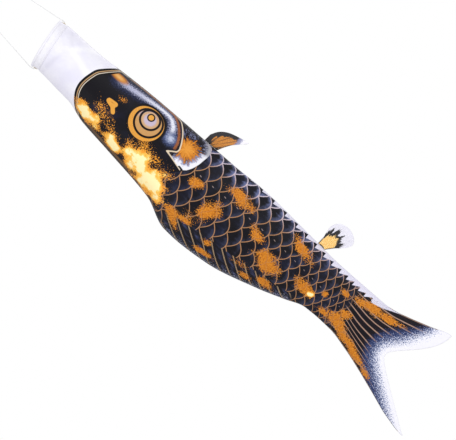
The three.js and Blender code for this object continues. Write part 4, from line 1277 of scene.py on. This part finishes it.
fin_looks = {}
for kind in designs:
    look, net, surface = material(f"printed_fin_{kind}", 0.5, Sheen_Weight=0.25)
    out, part, rim, a, b = net.attributes("out part rim fin_a fin_b")
    place = net.point(a, b)
    height, = placed(net, weave_group, "Height", Across=a, Along=b, Thread=THREAD)
    grit, speck = net.noise(place, 0.45, 2.0, 0.7), net.noise(place, 0.2, 3.0, 0.7)
    dots = (speck - 0.5) * 3.0 + (grit - 0.5) * 1.6
    if kind == "pectoral":
        strokes = net.noise(net.point(part * 13, out * 1.2), 1.0, 3.0, 0.6)
        middle = 1 - (part - 0.56) * (part - 0.56) * 9 - (out - 0.4) * (out - 0.4) * 5
        orange = (middle * 2 - 0.5 + (strokes - 0.5) * 7 + dots * 0.5).ramp(-0.05, 0.15)
        ray_line = abs((part * 9 + 0.25).fract() - 0.5).ramp(0.38, 0.46)
        tip = (a - 80) * 0.05 + dots * 0.3 + part.ramp(0.85, 1.0, 0.0, 0.8) * out
        tone = layered(
            net.colour("0f0c13"),
            ("4a3a3c", strokes.ramp(0.5, 0.7, 0.0, 0.7)),
            ("b9701c", orange),
            ("dd9436", orange * grit.ramp(0.48, 0.6)),
            ("1a1014", ray_line * out.ramp(0.15, 0.4) * 0.7),
            ("8f8fb2", tip.ramp(-0.5, -0.15)),
            ("efedf6", tip.ramp(-0.05, 0.4)),
            ("b9906a", rim.fade(1.0, 2.2, 0.8) * part.ramp(0.8, 0.9) * tip.fade(0, 0.3)),
        )
    else:
        strokes = net.noise(net.point(part * 16, out * 1.0), 1.0, 3.0, 0.6)
        middle = (0.34 - out) * 6 + 1.0 - (part - 0.5) * (part - 0.5) * 14 + (strokes - 0.5) * 3 + dots * 0.4
        bright = middle.ramp(-0.1, 0.2) * out.ramp(0.02, 0.06)
        tone = layered(
            net.colour("e6e4f0"),
            ("d2d0e2", speck.ramp(0.45, 0.7, 0.0, 0.7)),
            ("0f0c13", ((0.69 - out) * 6 + (strokes - 0.5) * 6 + dots * 0.4).ramp(-0.1, 0.25)),
            ("eda93f", bright),
            ("ffe9a4", bright * grit.ramp(0.46, 0.58)),
        )
    connect(net, surface, height, 0.25, 0.0002, Base_Color=tone)
    fin_looks[kind] = look

for kind, (start_at, root_long, outline) in designs.items():
    root = [np.array((float(belly_edge(s)), 0, -s)) for s in (start_at, start_at + root_long)]
    fin_along = (root[1] - root[0]) / np.linalg.norm(root[1] - root[0])
    fin_out = np.array((-fin_along[2], 0, fin_along[0]))
    rim = smooth_route([(x, y, 0) for x, y in outline], 1.5)[:, :2]
    rim = np.vstack([[(0, 0)], rim, [(root_long, 0)]])
    lengths = np.concatenate([[0], np.cumsum(np.linalg.norm(np.diff(rim, axis=0), axis=1))])
    # The rays fan out, so equal shares of the root go to equal shares of the outline.
    share = np.linspace(0, 1, FIN_WIDE + 1)[None]
    out = np.linspace(0, 1, FIN_LONG + 1)[:, None]
    plan_a = share * root_long * (1 - out) + np.interp(share * lengths[-1], lengths, rim[:, 0]) * out
    plan_b = np.interp(share * lengths[-1], lengths, rim[:, 1]) * out
    rim_gap = np.min([np.hypot(plan_a - a0, plan_b - b0) for a0, b0 in rim], axis=0)
    flutter = (1.3 * np.sin(plan_a / 15 + plan_b / 21) + 0.9 * np.sin(plan_a / 8 - plan_b / 13 + 1.0)) \
        * ease(plan_b, 4, 50)
    fin_fields = {"out": out + 0 * plan_a, "part": share + 0 * plan_a, "rim": rim_gap, "fin_a": plan_a,
                  "fin_b": plan_b}
    for side_name, side in (("right", -1), ("left", 1)):
        fin_across = np.array((0, side, 0))
        fin_up = fin_out * math.cos(FIN_SPLAY) + fin_across * math.sin(FIN_SPLAY)
        fin_normal = np.cross(fin_along, fin_up)
        seat = root[0] + fin_out * (TAPE_PROUD + FIN_HALF) + fin_across * FIN_ASIDE
        skins = []
        for skin in (FIN_HALF, -FIN_HALF):
            puff = skin * (1 + 1.1 * ease(rim_gap, 0, 9) * ease(plan_b, 2, 20))
            local = (seat + plan_a[..., None] * fin_along + plan_b[..., None] * fin_up
                     + (flutter + puff)[..., None] * fin_normal)
            skins.append(local * MM + (0, 0, MOUTH_Z))
        fin = cloth_sheet(f"{kind}_fin_cloth_{side_name}", *skins, fin_fields, fin_looks[kind])
        settle(fin, f"{kind}_{side_name}", "printed_cloth", f"{kind}_fin_{side_name}")
